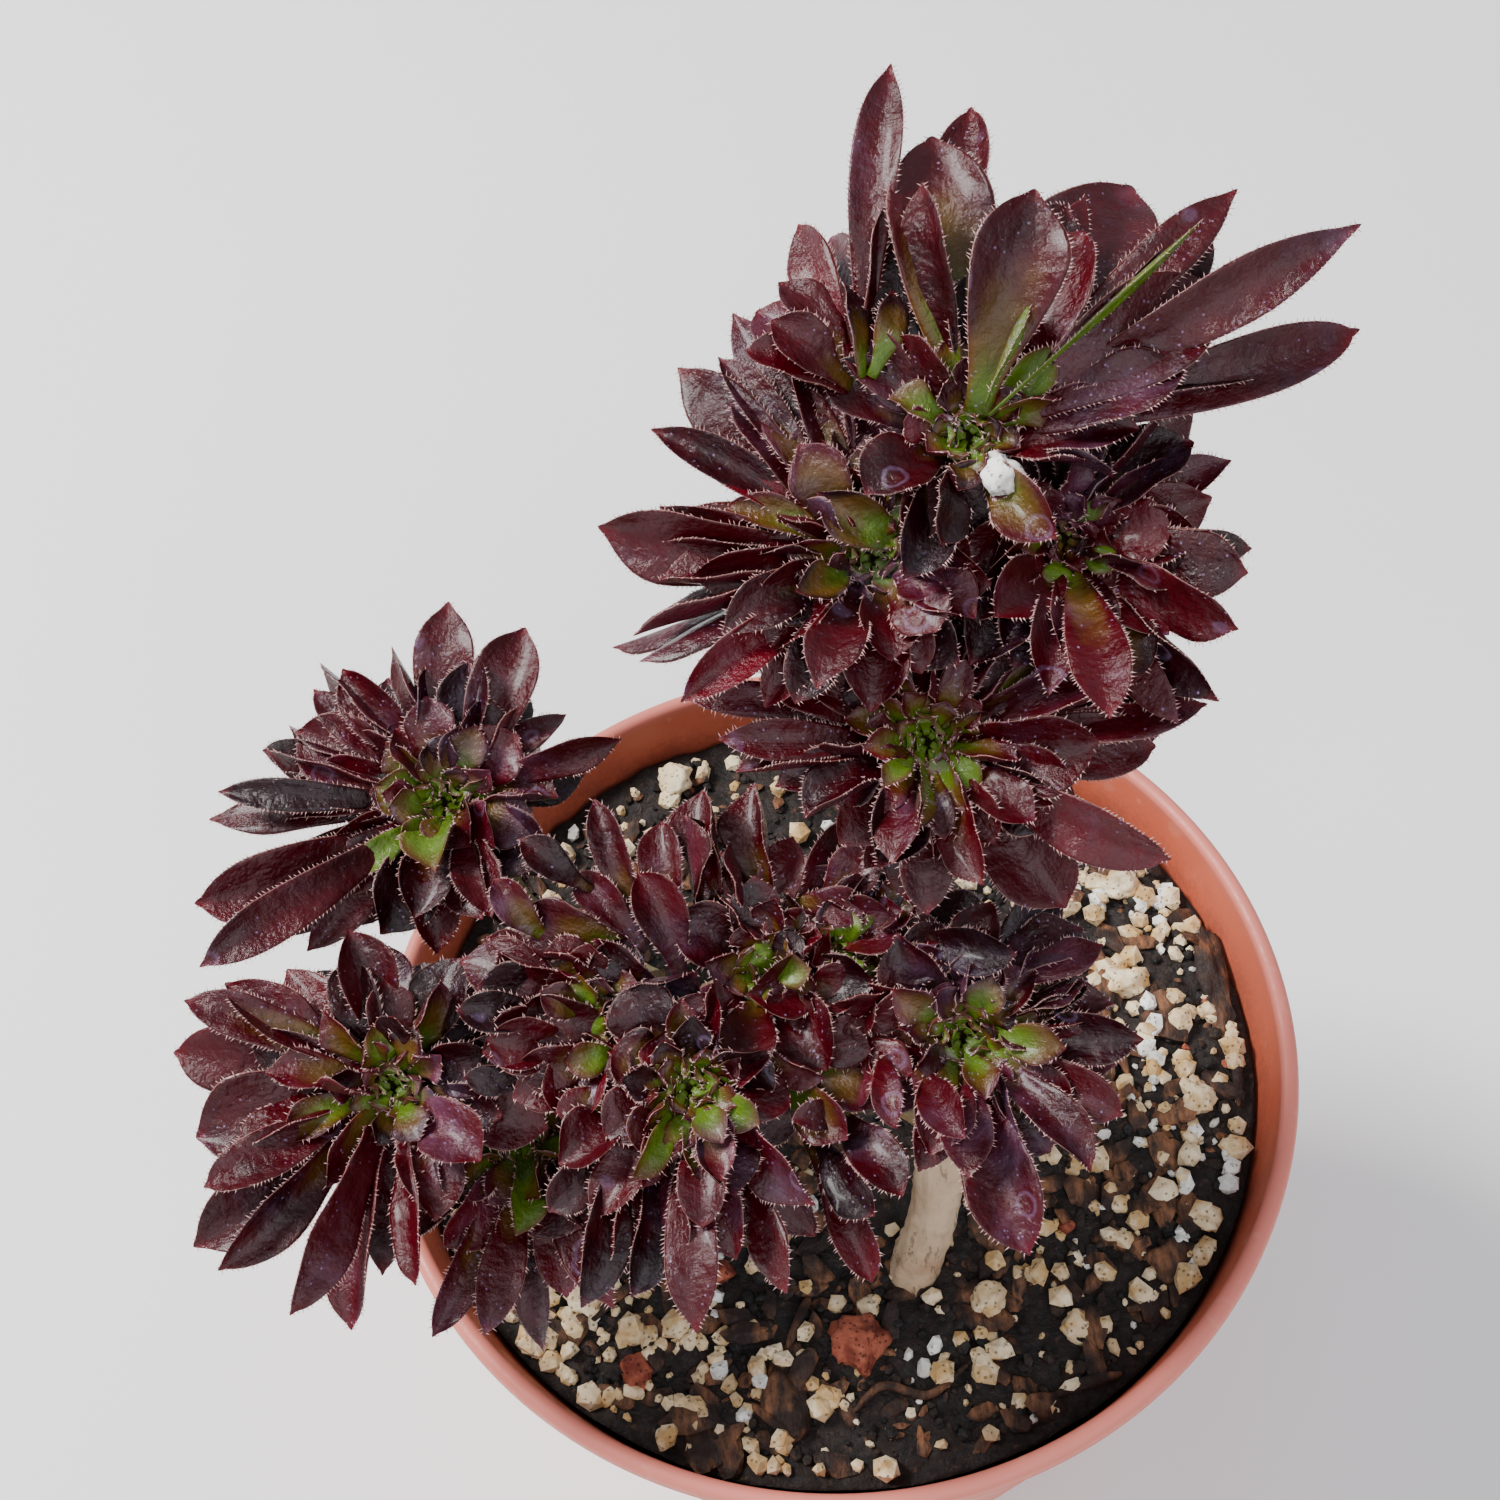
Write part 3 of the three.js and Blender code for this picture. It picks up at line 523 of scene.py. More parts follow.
# Heads of leaves: the CAD node, its growing tip (x, y and height over the soil in mm), and the leaves as
# (clock angle, reach, width) in mm, with the place they spring from (clock angle, reach) where it is not
# the growing tip. spread multiplies the leaves' sizes, and light how green the smallest ones are. young
# leaves are green at the foot. single leaves are pieces of their own: the CAD node, the piece's name, clock
# angle, reach, width, how green, and how far forward in mm where it is not 0.
heads = [
    {
        "node": "upper_crest_left",
        "tip": (7.6, 12.6, 84),
        "spread": 0.93,
        "leaves": [
            (167, 28.3, 7.3), (170, 23, 2.5), (160, 22.5, 3.5), (180, 22, 3), (180, 18.5, 4.8),
            (175, 12.8, 2.5), (150, 10.7, 4), (105, 9.9, 6), (140, 9.8, 3), (121, 23, 8),
            (128, 28.7, 6.4), (143, 26.4, 4), (142, 21.7, 4), (114, 21.5, 7), (120, 26.7, 4),
            (112, 30, 5), (101, 25.6, 5.5), (84, 17.8, 2.5), (115, 12.7, 3), (99, 13.9, 3),
            (202, 6.7, 6), (217, 14.4, 6.5), (202, 17.4, 5), (192, 28.4, 3), (192, 25.7, 2.2),
            (198, 26, 2.5), (211, 24.5, 4.5), (52, 13.9, 4.5), (330, 8, 5), (285, 13, 4.5),
            (262, 16, 6.5), (240, 15, 5.5), (228, 19, 5), (300, 10, 6), (320, 12, 6), (272, 11, 6),
            (345, 10, 6),
        ],
        "young": [
            (155, 16, 4.5), (126, 8.5, 6.4, 0, 4.6), (92, 15.8, 5), (170, 9, 5), (60, 8, 5), (200, 9, 5),
            (104, 9.5, 8.5), (138, 9, 8), (84, 12, 7.5), (118, 13.5, 7.5),
        ],
        "single": [("leaf_upper_left_broad", "broadLeafUpperLeft", 80, 22.8, 8.6, 0.15)],
    },
    {
        "node": "upper_crest_back",
        "tip": (17.7, 19.3, 92),
        "spread": 0.93,
        "leaves": [
            (82, 35, 5.5, 105, 9), (60, 27, 6.5), (54, 24.5, 9), (33, 33, 2.4), (21, 42, 3.2),
            (5, 33, 4), (124, 12.7, 8), (25, 20, 7), (10, 22, 6.5), (355, 17, 6), (110, 21, 5.5),
            (130, 17, 5), (95, 25, 5.5), (57, 29, 5), (340, 12, 5), (235, 13, 4.5, 200, 3),
            (248, 12, 4.5, 230, 3),
        ],
        "young": [
            (88, 18.5, 6.4), (104, 15, 6), (72, 14, 6), (96, 10, 5), (40, 12, 5), (150, 9, 5), (15, 10, 5),
        ],
        "edgeOn": [(36, 31, 3.8), (60, 13, 4)],  # pale green, seen from their edge
        "single": [
            ("leaf_top_broad", "broadLeafTop", 90, 31, 10, 0.62, 2),
            ("leaf_top_front", "frontLeafTop", 70, 23, 8.6, 0.52, 6),
            ("leaf_top_right_round", "roundLeafTopRight", 50, 35, 11.8, 0.38),
            ("leaf_top_right_narrow", "narrowLeafTopRight", 36, 36.5, 5, 0.0),
            ("leaf_right_dark", "darkLeafRight", 24, 29, 9.6, 0.1, 3),
            ("leaf_right_long", "longLeafRight", 9, 41.5, 5.9, 0.1),
        ],
    },
    {
        "node": "upper_crest_front",
        "tip": (11.1, -0.9, 72),
        "spread": 0.94,
        "leaves": [
            (353, 16.8, 8), (352, 23.7, 6.5), (9, 23.4, 5), (2, 26.4, 4), (1, 28.5, 2.4),
            (355, 24.5, 4), (21, 19.7, 6), (18, 25.5, 6), (333, 15.4, 5.5), (327, 26.4, 2),
            (244, 12.8, 4.5), (262, 17.5, 5), (266, 13.5, 4), (178, 12.4, 3), (190, 16.4, 4),
            (173, 21.5, 4), (164, 25, 3.5), (31, 12.3, 2.2), (205, 15, 5.5), (222, 14, 5.5),
            (150, 19, 6), (140, 15, 5), (282, 15, 5), (40, 22, 5), (183, 20, 5),
            (315, 13, 5), (295, 12, 5), (90, 12, 6), (70, 13, 6), (110, 14, 6), (128, 11, 5.5),
            (50, 14, 6), (82, 16, 6), (100, 17, 6), (60, 20, 7), (68, 17, 6.5), (50, 19, 6.5),
        ],
        "young": [
            (201, 5.5, 3.4), (17, 6.8, 3.2), (310, 7, 4), (229, 8.8, 3.5), (250, 8.8, 3.2),
            (340, 9, 4), (270, 10, 4), (60, 9, 4), (110, 9, 4.5), (160, 9, 4.5), (180, 7, 4),
            (290, 8, 4), (215, 7, 3.4), (90, 6, 4), (130, 7, 4),
        ],
        "single": [("leaf_front_folded", "foldedLeafFront", 303, 22.3, 8, 0.1)],
    },
    {
        "node": "upper_crest_right",
        "light": 0.45,
        "tip": (26.4, 14, 82),
        "spread": 0.93,
        "leaves": [
            (18, 18.5, 4), (30, 16, 8), (355, 10.3, 6), (349, 18.7, 2.2), (338, 13.5, 3),
            (328, 12.4, 3), (330, 8.5, 6), (316, 14, 4), (307, 14.3, 6), (280, 11.9, 5),
            (300, 21, 4), (304, 22.5, 2.4), (292, 22, 4), (77, 15, 5.5), (65, 18.4, 3.4),
            (55, 9.5, 4), (100, 12, 5), (8, 15, 6), (42, 20, 6), (322, 19, 6), (340, 18, 6.5),
            (262, 14, 4), (200, 9, 5), (235, 9, 4.5), (180, 11, 6), (160, 11, 6), (220, 12, 6),
            (268, 19, 5.5), (252, 17, 5), (240, 15, 6.5), (226, 17, 6.5), (208, 15, 6),
        ],
        "young": [(120, 7, 4), (180, 6, 4), (250, 6, 4), (315, 6, 4), (40, 6, 4)],
        "single": [],
    },
    {
        "node": "upper_crest_tuft",
        "upright": True,  # tall leaves only: no heart and no leaves between the listed ones
        "tip": (8.5, 22.1, 96),
        "spread": 0.92,
        "leaves": [
            (103, 20.2, 5), (93, 19, 2.6), (76, 21.7, 3.2), (120, 15, 5), (138, 12, 5), (155, 13, 4.5),
        ],
        "young": [(95, 12, 4.5), (70, 11, 4.5)],
        "single": [("leaf_tallest", "tallestLeaf", 79, 34.8, 4.7, 0.0)],
    },
    {
        "node": "rosette_left_back",
        "tip": (-41.1, 18.6, 42),
        "spread": 1.0,
        "leaves": [
            (91, 15.6, 6.5), (60, 12.8, 3.4), (45, 14.6, 2.6), (30, 16.7, 3.8), (13, 21.4, 4),
            (122, 19.4, 5.5), (127, 21.9, 2.4), (134, 20.2, 4), (149, 20.8, 3), (158, 21.5, 3.4),
            (159, 22.8, 4), (171, 20.6, 5), (171, 25.6, 3.5), (178, 27.7, 5), (179, 19.7, 4.5),
            (194, 20, 6), (212, 24.5, 5), (209, 29.6, 5), (225, 18, 3.4), (214, 16, 4),
            (204, 14.7, 4), (166, 8.5, 3.8), (300, 6, 6.5), (315, 8, 8), (275, 12, 6), (252, 13, 5.5),
            (238, 16, 5), (338, 11, 6), (355, 13, 6), (222, 22, 4.5), (290, 14, 5), (262, 17, 5),
            (140, 13, 6), (104, 19, 4.5), (149, 19.2, 8),
        ],
        "young": [
            (94, 12.2, 7), (213, 13.6, 4), (127, 9.5, 5.3), (60, 9.5, 5.5),
            (255, 4.5, 4.5), (90, 7, 5), (20, 6, 4.5), (180, 6, 5), (225, 7, 5),
            (118, 10, 8.5), (66, 9.5, 7.5), (264, 7.5, 7.5), (160, 8, 6.5),
        ],
        "single": [
            ("leaf_left_back_top", "topLeafLeftBack", 84, 23, 6.6, 0.0),
            ("leaf_left_back_right", "rightLeafLeftBack", 60, 21.8, 7, 0.0),
            ("leaf_left_back_side", "sideLeafLeftBack", 196, 28.4, 7.5, 0.35),
        ],
    },
    {
        "node": "rosette_left_front",
        "tip": (-47.2, -15.1, 40),
        "spread": 1.0,
        "leaves": [
            (220, 23.8, 5), (175, 8, 8), (262, 19, 4.5), (151, 23.7, 4.5), (143, 21, 3.4),
            (155, 16, 5), (285, 14, 6), (300, 10, 6), (242, 22, 3), (256, 24, 3.4),
            (320, 12, 6), (10, 11, 6), (340, 12, 5.5), (60, 12, 5), (90, 11, 5), (200, 20, 5),
            (130, 17, 5), (275, 19, 4), (110, 14, 5),
        ],
        "young": [
            (166, 13.2, 5.5), (125, 11, 4.5), (231, 11.5, 6), (60, 7, 5), (300, 6, 5), (200, 12, 5),
            (100, 7, 5),
        ],
        "single": [
            ("leaf_left_front_upper", "upperLeafLeftFront", 166, 24, 6.8, 0.1),
            ("leaf_left_front_side", "sideLeafLeftFront", 188, 21.3, 8.6, 0.05),
            ("leaf_left_front_lower", "lowerLeafLeftFront", 212, 25.3, 7, 0.1),
        ],
    },
    {
        "node": "lower_crest_right",
        "tip": (12.6, -17.7, 42),
        "spread": 1.0,
        "leaves": [
            (79, 9, 6, 176, 5.3), (90, 11, 5.5, 148, 9.3), (62, 10.6, 4, 110, 8), (34, 16.8, 3.4, 68, 6),
            (27, 17.2, 4, 56, 6), (22, 14.4, 3), (18, 14, 3.4), (14, 13, 3), (343, 15.8, 5.5),
            (332, 13.2, 4), (328, 17.4, 5), (307, 17.2, 4.5), (291, 11, 4), (257, 8.5, 4, 201, 6),
            (223, 11.3, 3, 178, 8), (160, 14, 3, 143, 8), (172, 14.8, 3, 164, 8), (206, 13.7, 3.4, 184, 9),
            (197, 19.6, 3, 211, 13), (48, 18.5, 5), (5, 16, 5), (354, 18, 5), (318, 13, 5),
            (40, 13, 5), (70, 14, 5), (262, 13, 5), (242, 14, 4.5), (300, 15, 5),
        ],
        "young": [
            (120, 6, 4.5), (60, 7, 5), (10, 8, 5), (330, 8, 5), (280, 6, 4.5), (200, 6, 4.5),
            (90, 5, 4), (35, 10, 5), (350, 10, 5), (140, 9, 5), (310, 9, 4.5), (235, 8, 4),
        ],
        "single": [("leaf_lower_right_folded", "foldedLeafLowerRight", 279, 21.6, 7, 0.0)],
    },
    {
        "node": "shaded_offset",
        "tip": (-35.4, -18, 30),
        "spread": 1.0,
        "leaves": [
            (200, 11, 6), (228, 13, 6), (255, 19, 4.5), (282, 17, 5), (308, 13, 6), (165, 10, 5),
            (270, 23, 4), (240, 21, 4), (340, 12, 5), (295, 20, 4.5), (215, 16, 5),
        ],
        "young": [
            (190, 6, 5), (240, 7, 5), (290, 6, 5), (340, 5, 4), (80, 6, 5), (130, 6, 5), (215, 9, 5),
            (265, 9, 5),
        ],
        "single": [],
    },
]
# The lower crest's four left heads grow as one ridge. Their leaves are given about the front one.
ridge = {
    "nodes": {
        "lower_crest_front": (-16, -21.3, 45),
        "lower_crest_left": (-25.9, -12, 45),
        "lower_crest_middle": (-6.5, -9.1, 45),
        "lower_crest_back": (2.3, -7.2, 45),
    },
    "leaves": [
        (103, 30.6, 3.6, 101, 15.6), (90, 26.7, 4.4, 95, 13.6), (85, 27.2, 3.2, 81, 17.6),
        (81, 29.8, 3.2, 74, 18.2), (74, 24.8, 3, 62, 16.8), (71, 31.2, 3.2, 56, 17.6),
        (37, 25.5, 4, 53, 21), (119, 30.5, 3.6, 112, 22), (130, 24.4, 6.5, 110, 15),
        (128, 29, 3.5, 130, 20), (113, 24.2, 3.8, 103, 13.8), (133, 20, 3, 119, 14),
        (118, 17.6, 4, 101, 9), (148, 27, 6.3, 136, 14), (161, 21.2, 5.5, 158, 11.3),
        (172, 23.2, 3, 175, 16), (179, 18.3, 4.5, 174, 9.3), (185, 13.9, 3.4, 183, 7),
        (204, 15.3, 3.4, 198, 6), (237, 23.7, 5, 203, 8), (239, 19.1, 4.2, 222, 8.3),
        (238, 10.4, 3.4, 204, 4), (253, 17, 3.4, 249, 7), (260, 17, 5.3, 269, 5),
        (285, 9, 4), (302, 20.8, 5.5, 312, 6), (306, 27.5, 3.8, 324, 14), (319, 22.8, 4.5, 329, 14),
        (327, 24, 5, 341, 15), (356, 13.9, 3.4, 27, 7), (102, 6, 6.5), (30, 27, 6, 35, 20),
        (22, 31, 5, 30, 22), (44, 31, 5, 43, 21), (52, 31, 5, 48, 18), (34, 34, 5, 33, 23),
        (16, 30, 5, 28, 21), (10, 24, 5, 24, 17), (15, 36, 4.5, 25, 27), (60, 27, 4.5, 52, 15),
        (66, 22, 5, 55, 12), (98, 22, 5, 90, 10), (150, 19, 5, 142, 8), (140, 24, 5, 138, 13),
        (156, 25, 4, 150, 14), (168, 18, 5, 160, 8), (345, 19, 5, 5, 12), (335, 17, 5, 350, 9),
        (227, 16, 5), (215, 19, 4.5, 205, 8), (248, 21, 4.5, 235, 7), (280, 17, 4.5), (290, 22, 4.5, 300, 8),
        (312, 17, 5), (270, 13, 4.5), (20, 20, 5, 30, 13), (2, 19, 4.5, 15, 11), (355, 23, 4.5, 8, 16),
    ],
    "young": [
        (142, 18, 4.5, 142, 12.5), (150, 15, 4.5, 142, 12), (130, 16, 4.5, 142, 12), (146, 10, 4.5, 142, 12),
        (125, 11, 4, 142, 12), (46, 19, 4.5, 46, 13.8), (60, 15, 4.5, 46, 13.8), (36, 17, 4.5, 46, 13.8),
        (40, 10, 4, 46, 13), (55, 20, 4.5, 48, 14), (32, 26, 4.5, 32, 21), (40, 24, 4.5, 32, 21),
        (26, 19, 4.5, 32, 21), (180, 6.5, 4.5, 150, 3), (215, 6, 4.5), (250, 7, 4.5), (300, 6, 4.5),
        (20, 6, 4.5), (150, 5, 4), (270, 9, 4.5), (230, 10, 4), (328, 8, 4.5), (164, 13, 4.5, 150, 8),
        (88, 9, 4), (70, 11, 4.5, 60, 5),
    ],
    "single": [("leaf_lower_front_hanging", "hangingLeafLowerFront", 266, 22.8, 5, 0.0)],
}

growth = {
    "seed": 7,
    "springReach": 2.0,  # mm from the growing tip where a leaf springs if nothing is listed
    "fillers": 8,  # leaves between the listed ones, a little behind them
    "skirt": 15,  # leaves on the back of each head
    "hearts": 17,  # small green leaves on the growing tip
    "edgeOnWidth": 3.5,  # listed widths under this are blades seen from their edge
    "fullWidth": 6.2,  # the real width of such a blade
    "goldenTurn": math.pi * (3 - math.sqrt(5)),  # between one leaf and the next on a spiral
}


def sideLift(clock):
    # degrees off the face plane, 12 - 18 * sin(clock): back leaves dip, front leaves rise most
    return 12 - 18 * np.sin(np.radians(clock))


def bladesFrom(rows, centre, spread, young, rng, dull=0.0, baseOut=0.0, extraLift=0.0, depthAt=None):
    # turns rows of (clock, reach, width, from clock, from reach) into arrays of blades. The bend stands
    # arch * length in front of the blade's middle, and short leaves rise more, by up to 30 degrees.
    full = [row if len(row) == 5 else (*row, row[0], growth["springReach"]) for row in rows]
    clock, reach, width, fromClock, fromReach = np.array(full, float).T
    count = len(clock)
    own = np.hypot(
        reach * np.cos(np.radians(clock)) - fromReach * np.cos(np.radians(fromClock)),
        reach * np.sin(np.radians(clock)) - fromReach * np.sin(np.radians(fromClock)),
    )
    lift = sideLift(clock) + 30 * np.clip(1 - own / 15, 0, 1) + extraLift + rng.normal(0, 8, count)
    layer = 4.0 * np.clip(1 - own / 26, 0, 1) - 1.0 + baseOut
    depth = depthAt(fromClock, fromReach) if depthAt else 0.0
    edgeOn = (width < growth["edgeOnWidth"]) & (own > 9)
    roll = np.where(edgeOn, np.arccos(np.clip(width / growth["fullWidth"], 0.42, 1)), 0)
    roll = roll * rng.choice([-1, 1], count) + rng.normal(0, 0.36, count)
    width = np.where(edgeOn, growth["fullWidth"], width * (0.86 if young else 1.1))
    start = centre + spread * mm * onFace(fromClock, fromReach, layer + depth)
    tip = centre + spread * mm * onFace(clock, reach, layer + depth + own * np.tan(np.radians(lift)))
    length = np.linalg.norm(tip - start, axis=1)
    arch = rng.uniform(0.1, 0.22, count)
    sway = rng.normal(0, 0.05, count)
    sideways = unit(np.cross(faceOut, tip - start))
    bend = (start + tip) / 2 + (arch * length)[:, None] * faceOut + (sway * length)[:, None] * sideways
    tone = np.clip(rng.normal(0.43, 0.17, count) - dull, 0, 1)
    green = (0.8 if young else 0.42) + rng.normal(0, 0.17, count) - 0.012 * own
    return {
        "start": start, "bend": bend, "tip": tip, "width": width * spread * mm, "roll": roll,
        "twist": rng.normal(0, 0.42, count), "cup": rng.uniform(0.08, 0.75, count),
        "fold": rng.uniform(0.0, 0.42, count), "phase": rng.random(count),
        "round": rng.uniform(1.6, 2.3, count) - 0.2 * young,
        "point": rng.uniform(0.62, 0.9, count) + 0.1 * young,
        "tone": tone, "green": np.clip(green, 0, 1), "out": np.tile(faceOut, (count, 1)),
    }


def joined(parts):
    return {key: np.concatenate([p[key] for p in parts]) for key in parts[0]}


def chosen(blades, mask):
    return {key: value[mask] for key, value in blades.items()}


def headCentre(tip):
    return np.array([tip[0] * mm, tip[1] * mm, soilTop + tip[2] * mm])


def outwardFrom(middle, centre):
    # the direction from a crest's middle to a head, laid in the face plane
    away = centre - middle
    return unit(away - (away @ faceOut) * faceOut)


def skirtBlades(centre, longest, spread, outward, rng):
    # a golden-angle spiral of older leaves behind the head, drooping from 8 to 60 degrees towards the stem,
    # only on the side that faces out of the crest
    count = growth["skirt"]
    i = np.arange(count)
    clock = np.degrees(i * growth["goldenTurn"]) + rng.normal(0, 8, count)
    reach = longest * rng.uniform(0.5, 0.68, count) * (1 - 0.25 * i / count)
    rows = np.stack([clock, reach, rng.uniform(4.6, 6.4, count)], 1)
    blades = bladesFrom([tuple(r) for r in rows], centre, spread, False, rng, 0.12)
    droop = np.radians(-8 - 52 * i / count)
    direction = unit(onFace(clock, 1 + 0 * clock))
    back = (-2.2 - 5 * i / count)[:, None] * mm * faceOut
    blades["start"] = centre + back + direction * 1.8 * mm
    size = (reach * mm * spread)[:, None]
    lean = np.cos(droop)[:, None] * direction + np.sin(droop)[:, None] * faceOut
    blades["tip"] = blades["start"] + size * lean
    blades["bend"] = (blades["start"] + blades["tip"]) / 2 + 0.16 * size * faceOut
    if outward is not None:
        blades = chosen(blades, direction @ outward > -0.15)
    return blades


def heartBlades(centre, spread, rng, light=1.0):
    # a golden-angle spiral of small upright green leaves on the growing tip
    count = growth["hearts"]
    i = np.arange(count)
    clock = np.degrees(i * growth["goldenTurn"]) + 40
    reach = 1.0 + 0.42 * i
    rows = np.stack([clock, reach, 2.4 + 0.15 * i, clock, 0.3 + 0.1 * i], 1)
    blades = bladesFrom([tuple(r) for r in rows], centre, spread, True, rng, 0, 0.6)
    high = (4.4 + 0.12 * i)[:, None] * mm * spread
    blades["tip"] = centre + spread * mm * onFace(clock, reach) + high * faceOut
    blades["bend"] = (blades["start"] + blades["tip"]) / 2 + unit(onFace(clock, reach)) * 1.3 * mm
    blades["green"] = np.clip(0.95 - 0.035 * i + rng.normal(0, 0.08, count), 0, 1) * light
    return blades


def fillerBlades(centre, longest, spread, rng):
    # one leaf at a random place in each equal share of the turn, 0.46 to 0.74 of the longest leaf's reach
    count = growth["fillers"]
    clock = 360 * (np.arange(count) + rng.uniform(0.2, 0.8, count)) / count
    rows = np.stack([clock, longest * rng.uniform(0.46, 0.74, count), rng.uniform(5.2, 7.2, count)], 1)
    return bladesFrom([tuple(r) for r in rows], centre, spread, False, rng, 0.1, -1.6, 4)


def singleBlade(item, centre, spread, rng):
    # a leaf that is a piece of its own: calmer than the others, so that it keeps to its CAD node
    node, name, clock, reach, width, green, forward = item if len(item) == 7 else (*item, 0)
    blade = bladesFrom([(clock, reach, width)], centre, spread, False, rng)
    blade["green"] = np.array([green])
    blade["tone"] = np.clip(blade["tone"], 0.42, 0.58)
    blade["cup"] = np.clip(blade["cup"], 0.1, 0.4)
    blade["fold"] = np.clip(blade["fold"], 0.0, 0.2)
    blade["roll"] = rng.normal(0, 0.1, 1)
    blade["twist"] = rng.normal(0, 0.1, 1)
    if "folded" in node:
        blade["fold"] = np.array([0.75])
        blade["cup"] = np.array([0.1])
    for key in ("start", "bend", "tip"):
        blade[key] = blade[key] + forward * mm * faceOut
    makeLeaves(name, blade, rng, [node])


def growHead(head, crestMiddle):
    rng = np.random.default_rng(growth["seed"] + len(head["node"]) * 31 + int(abs(head["tip"][0]) * 10))
    centre = headCentre(head["tip"])
    spread = head["spread"]
    longest = max(row[1] for row in head["leaves"])
    outward = None if crestMiddle is None else outwardFrom(crestMiddle, centre)
    parts = [
        bladesFrom(head["leaves"], centre, spread, False, rng),
        bladesFrom(head["young"], centre, spread, True, rng, 0, 0.8),
        skirtBlades(centre, min(longest, 26), spread, outward, rng),
    ]
    if "upright" not in head:
        parts.append(fillerBlades(centre, min(longest, 24), spread, rng))
        parts.append(heartBlades(centre, spread, rng, head.get("light", 1.0)))
    if "edgeOn" in head:
        parts.append(bladesFrom(head["edgeOn"], centre, spread, True, rng, 0, 8.5))
        parts[-1]["green"][:] = 1.5
        parts[-1]["width"][:] = 1.4 * mm
        parts[-1]["roll"][:] = 1.0
    makeLeaves("leaves_" + head["node"], joined(parts), rng, [head["node"]])
    for item in head["single"]:
        singleBlade(item, centre, spread, rng)


upperMiddle = np.mean([headCentre(h["tip"]) for h in heads if h["node"].startswith("upper")], 0)
ridgeCentres = {node: headCentre(tip) for node, tip in ridge["nodes"].items()}
lowerMiddle = np.mean(list(ridgeCentres.values()), 0)
for head in heads:
    middle = upperMiddle if head["node"].startswith("upper") else None
    if head["node"] == "lower_crest_right":
        middle = lowerMiddle
    growHead(head, middle)


def growRidge():
    # each listed leaf goes to the head that it springs nearest to
    rng = np.random.default_rng(growth["seed"] + 400)
    names = list(ridgeCentres)
    centres = np.array([ridgeCentres[name] for name in names])
    first = centres[0]
    flat = (centres - first) / mm
    places = np.stack([flat @ faceRight, flat @ faceUp], 1)
    depths = flat @ faceOut

    def depthAt(clock, reach):
        # depth of the ridge behind a point, blended from the heads by their inverse square distance
        a = np.radians(clock)
        point = np.stack([reach * np.cos(a), reach * np.sin(a)], 1)
        weight = 1 / (((point[:, None, :] - places[None]) ** 2).sum(-1) + 6)
        return (weight * depths).sum(1) / weight.sum(1)

    listed = joined([
        bladesFrom(ridge["leaves"], first, 1.0, False, rng, depthAt=depthAt),
        bladesFrom(ridge["young"], first, 1.0, True, rng, 0, 0.8, depthAt=depthAt),
    ])
    nearest = np.linalg.norm(listed["start"][:, None] - centres[None], axis=2).argmin(1)
    for i, name in enumerate(names):
        parts = [
            chosen(listed, nearest == i),
            fillerBlades(centres[i], 17, 1.0, rng),
            skirtBlades(centres[i], 22, 1.0, outwardFrom(lowerMiddle, centres[i]), rng),
            heartBlades(centres[i], 1.0, rng),
        ]
        makeLeaves("leaves_" + name, joined(parts), rng, [name])
    for item in ridge["single"]:
        singleBlade(item, first, 1.0, rng)


growRidge()
print("leaves grown")

potLow, potHigh = boxOf("pot")
potShape = {
    "rim": (potHigh[0] - potLow[0]) / 2,
    "height": potHigh[2],
    "base": 39 * mm,
    "wall": 1.4 * mm,
    "lip": 3 * mm,
    "lipStand": 0.8 * mm,
    "holeRing": 27 * mm,
    "holeRadius": 4 * mm,
    "holes": 6,
    "segments": 192,
    "footRound": 1.5 * mm,
}
potColours = {
    "wall": colour(188, 90, 66),
    "wallLight": colour(195, 98, 74),
    # paler pink for the lip's top, a painted highlight on the rim's edge
    "lip": colour(214, 124, 112),
    # dark brown of the painted shade on the inner wall just above the soil
    "innerWallShade": colour(70, 44, 34),
    "splash": colour(214, 170, 150),
}


def potProfile():
    # outline from the middle of the underside, up the outside, over the lip and down the inside
    p = potShape
    wallTop = p["rim"] - p["lipStand"]
    half = (p["lipStand"] + p["wall"]) / 2  # half the lip's width
    lipMiddle = p["rim"] - half
    turn = np.linspace(-0.1 * np.pi, 1.05 * np.pi, 16)
    lip = np.stack([lipMiddle + half * np.cos(turn), p["height"] - half + half * np.sin(turn)], 1)
    bend = np.linspace(0, 0.44 * np.pi, 7)
    footRound = p["footRound"]
    footIn = p["base"] - footRound
    foot = np.stack([footIn + footRound * np.sin(bend), footRound * (1 - np.cos(bend))], 1)
    flat = [(r * mm, 0) for r in (0, 8, 16, 24, 31, 36)]
    up = np.linspace(0.03, 1, 22)
    lipFoot = p["height"] - p["lip"]
    wall = np.stack([p["base"] + (wallTop - p["base"]) * up, lipFoot * up], 1)
    under = [(wallTop + 0.3 * mm, lipFoot + 0.05 * mm), (p["rim"] - 0.12 * mm, lipFoot + 0.3 * mm),
             (p["rim"], lipFoot + 0.8 * mm)]
    down = np.linspace(0.015, 0.985, 12)
    low = np.array([p["base"] - p["wall"] + 0.3 * mm, p["wall"] + footRound])
    high = np.array([wallTop - p["wall"], p["height"] - 0.7 * mm])
    inner = high + (low - high) * down[:, None]
    floor = [(p["base"] - p["wall"] - footRound, p["wall"]), (24 * mm, p["wall"]), (0, p["wall"])]
    return np.vstack([flat, foot, wall, under, lip, inner, floor])


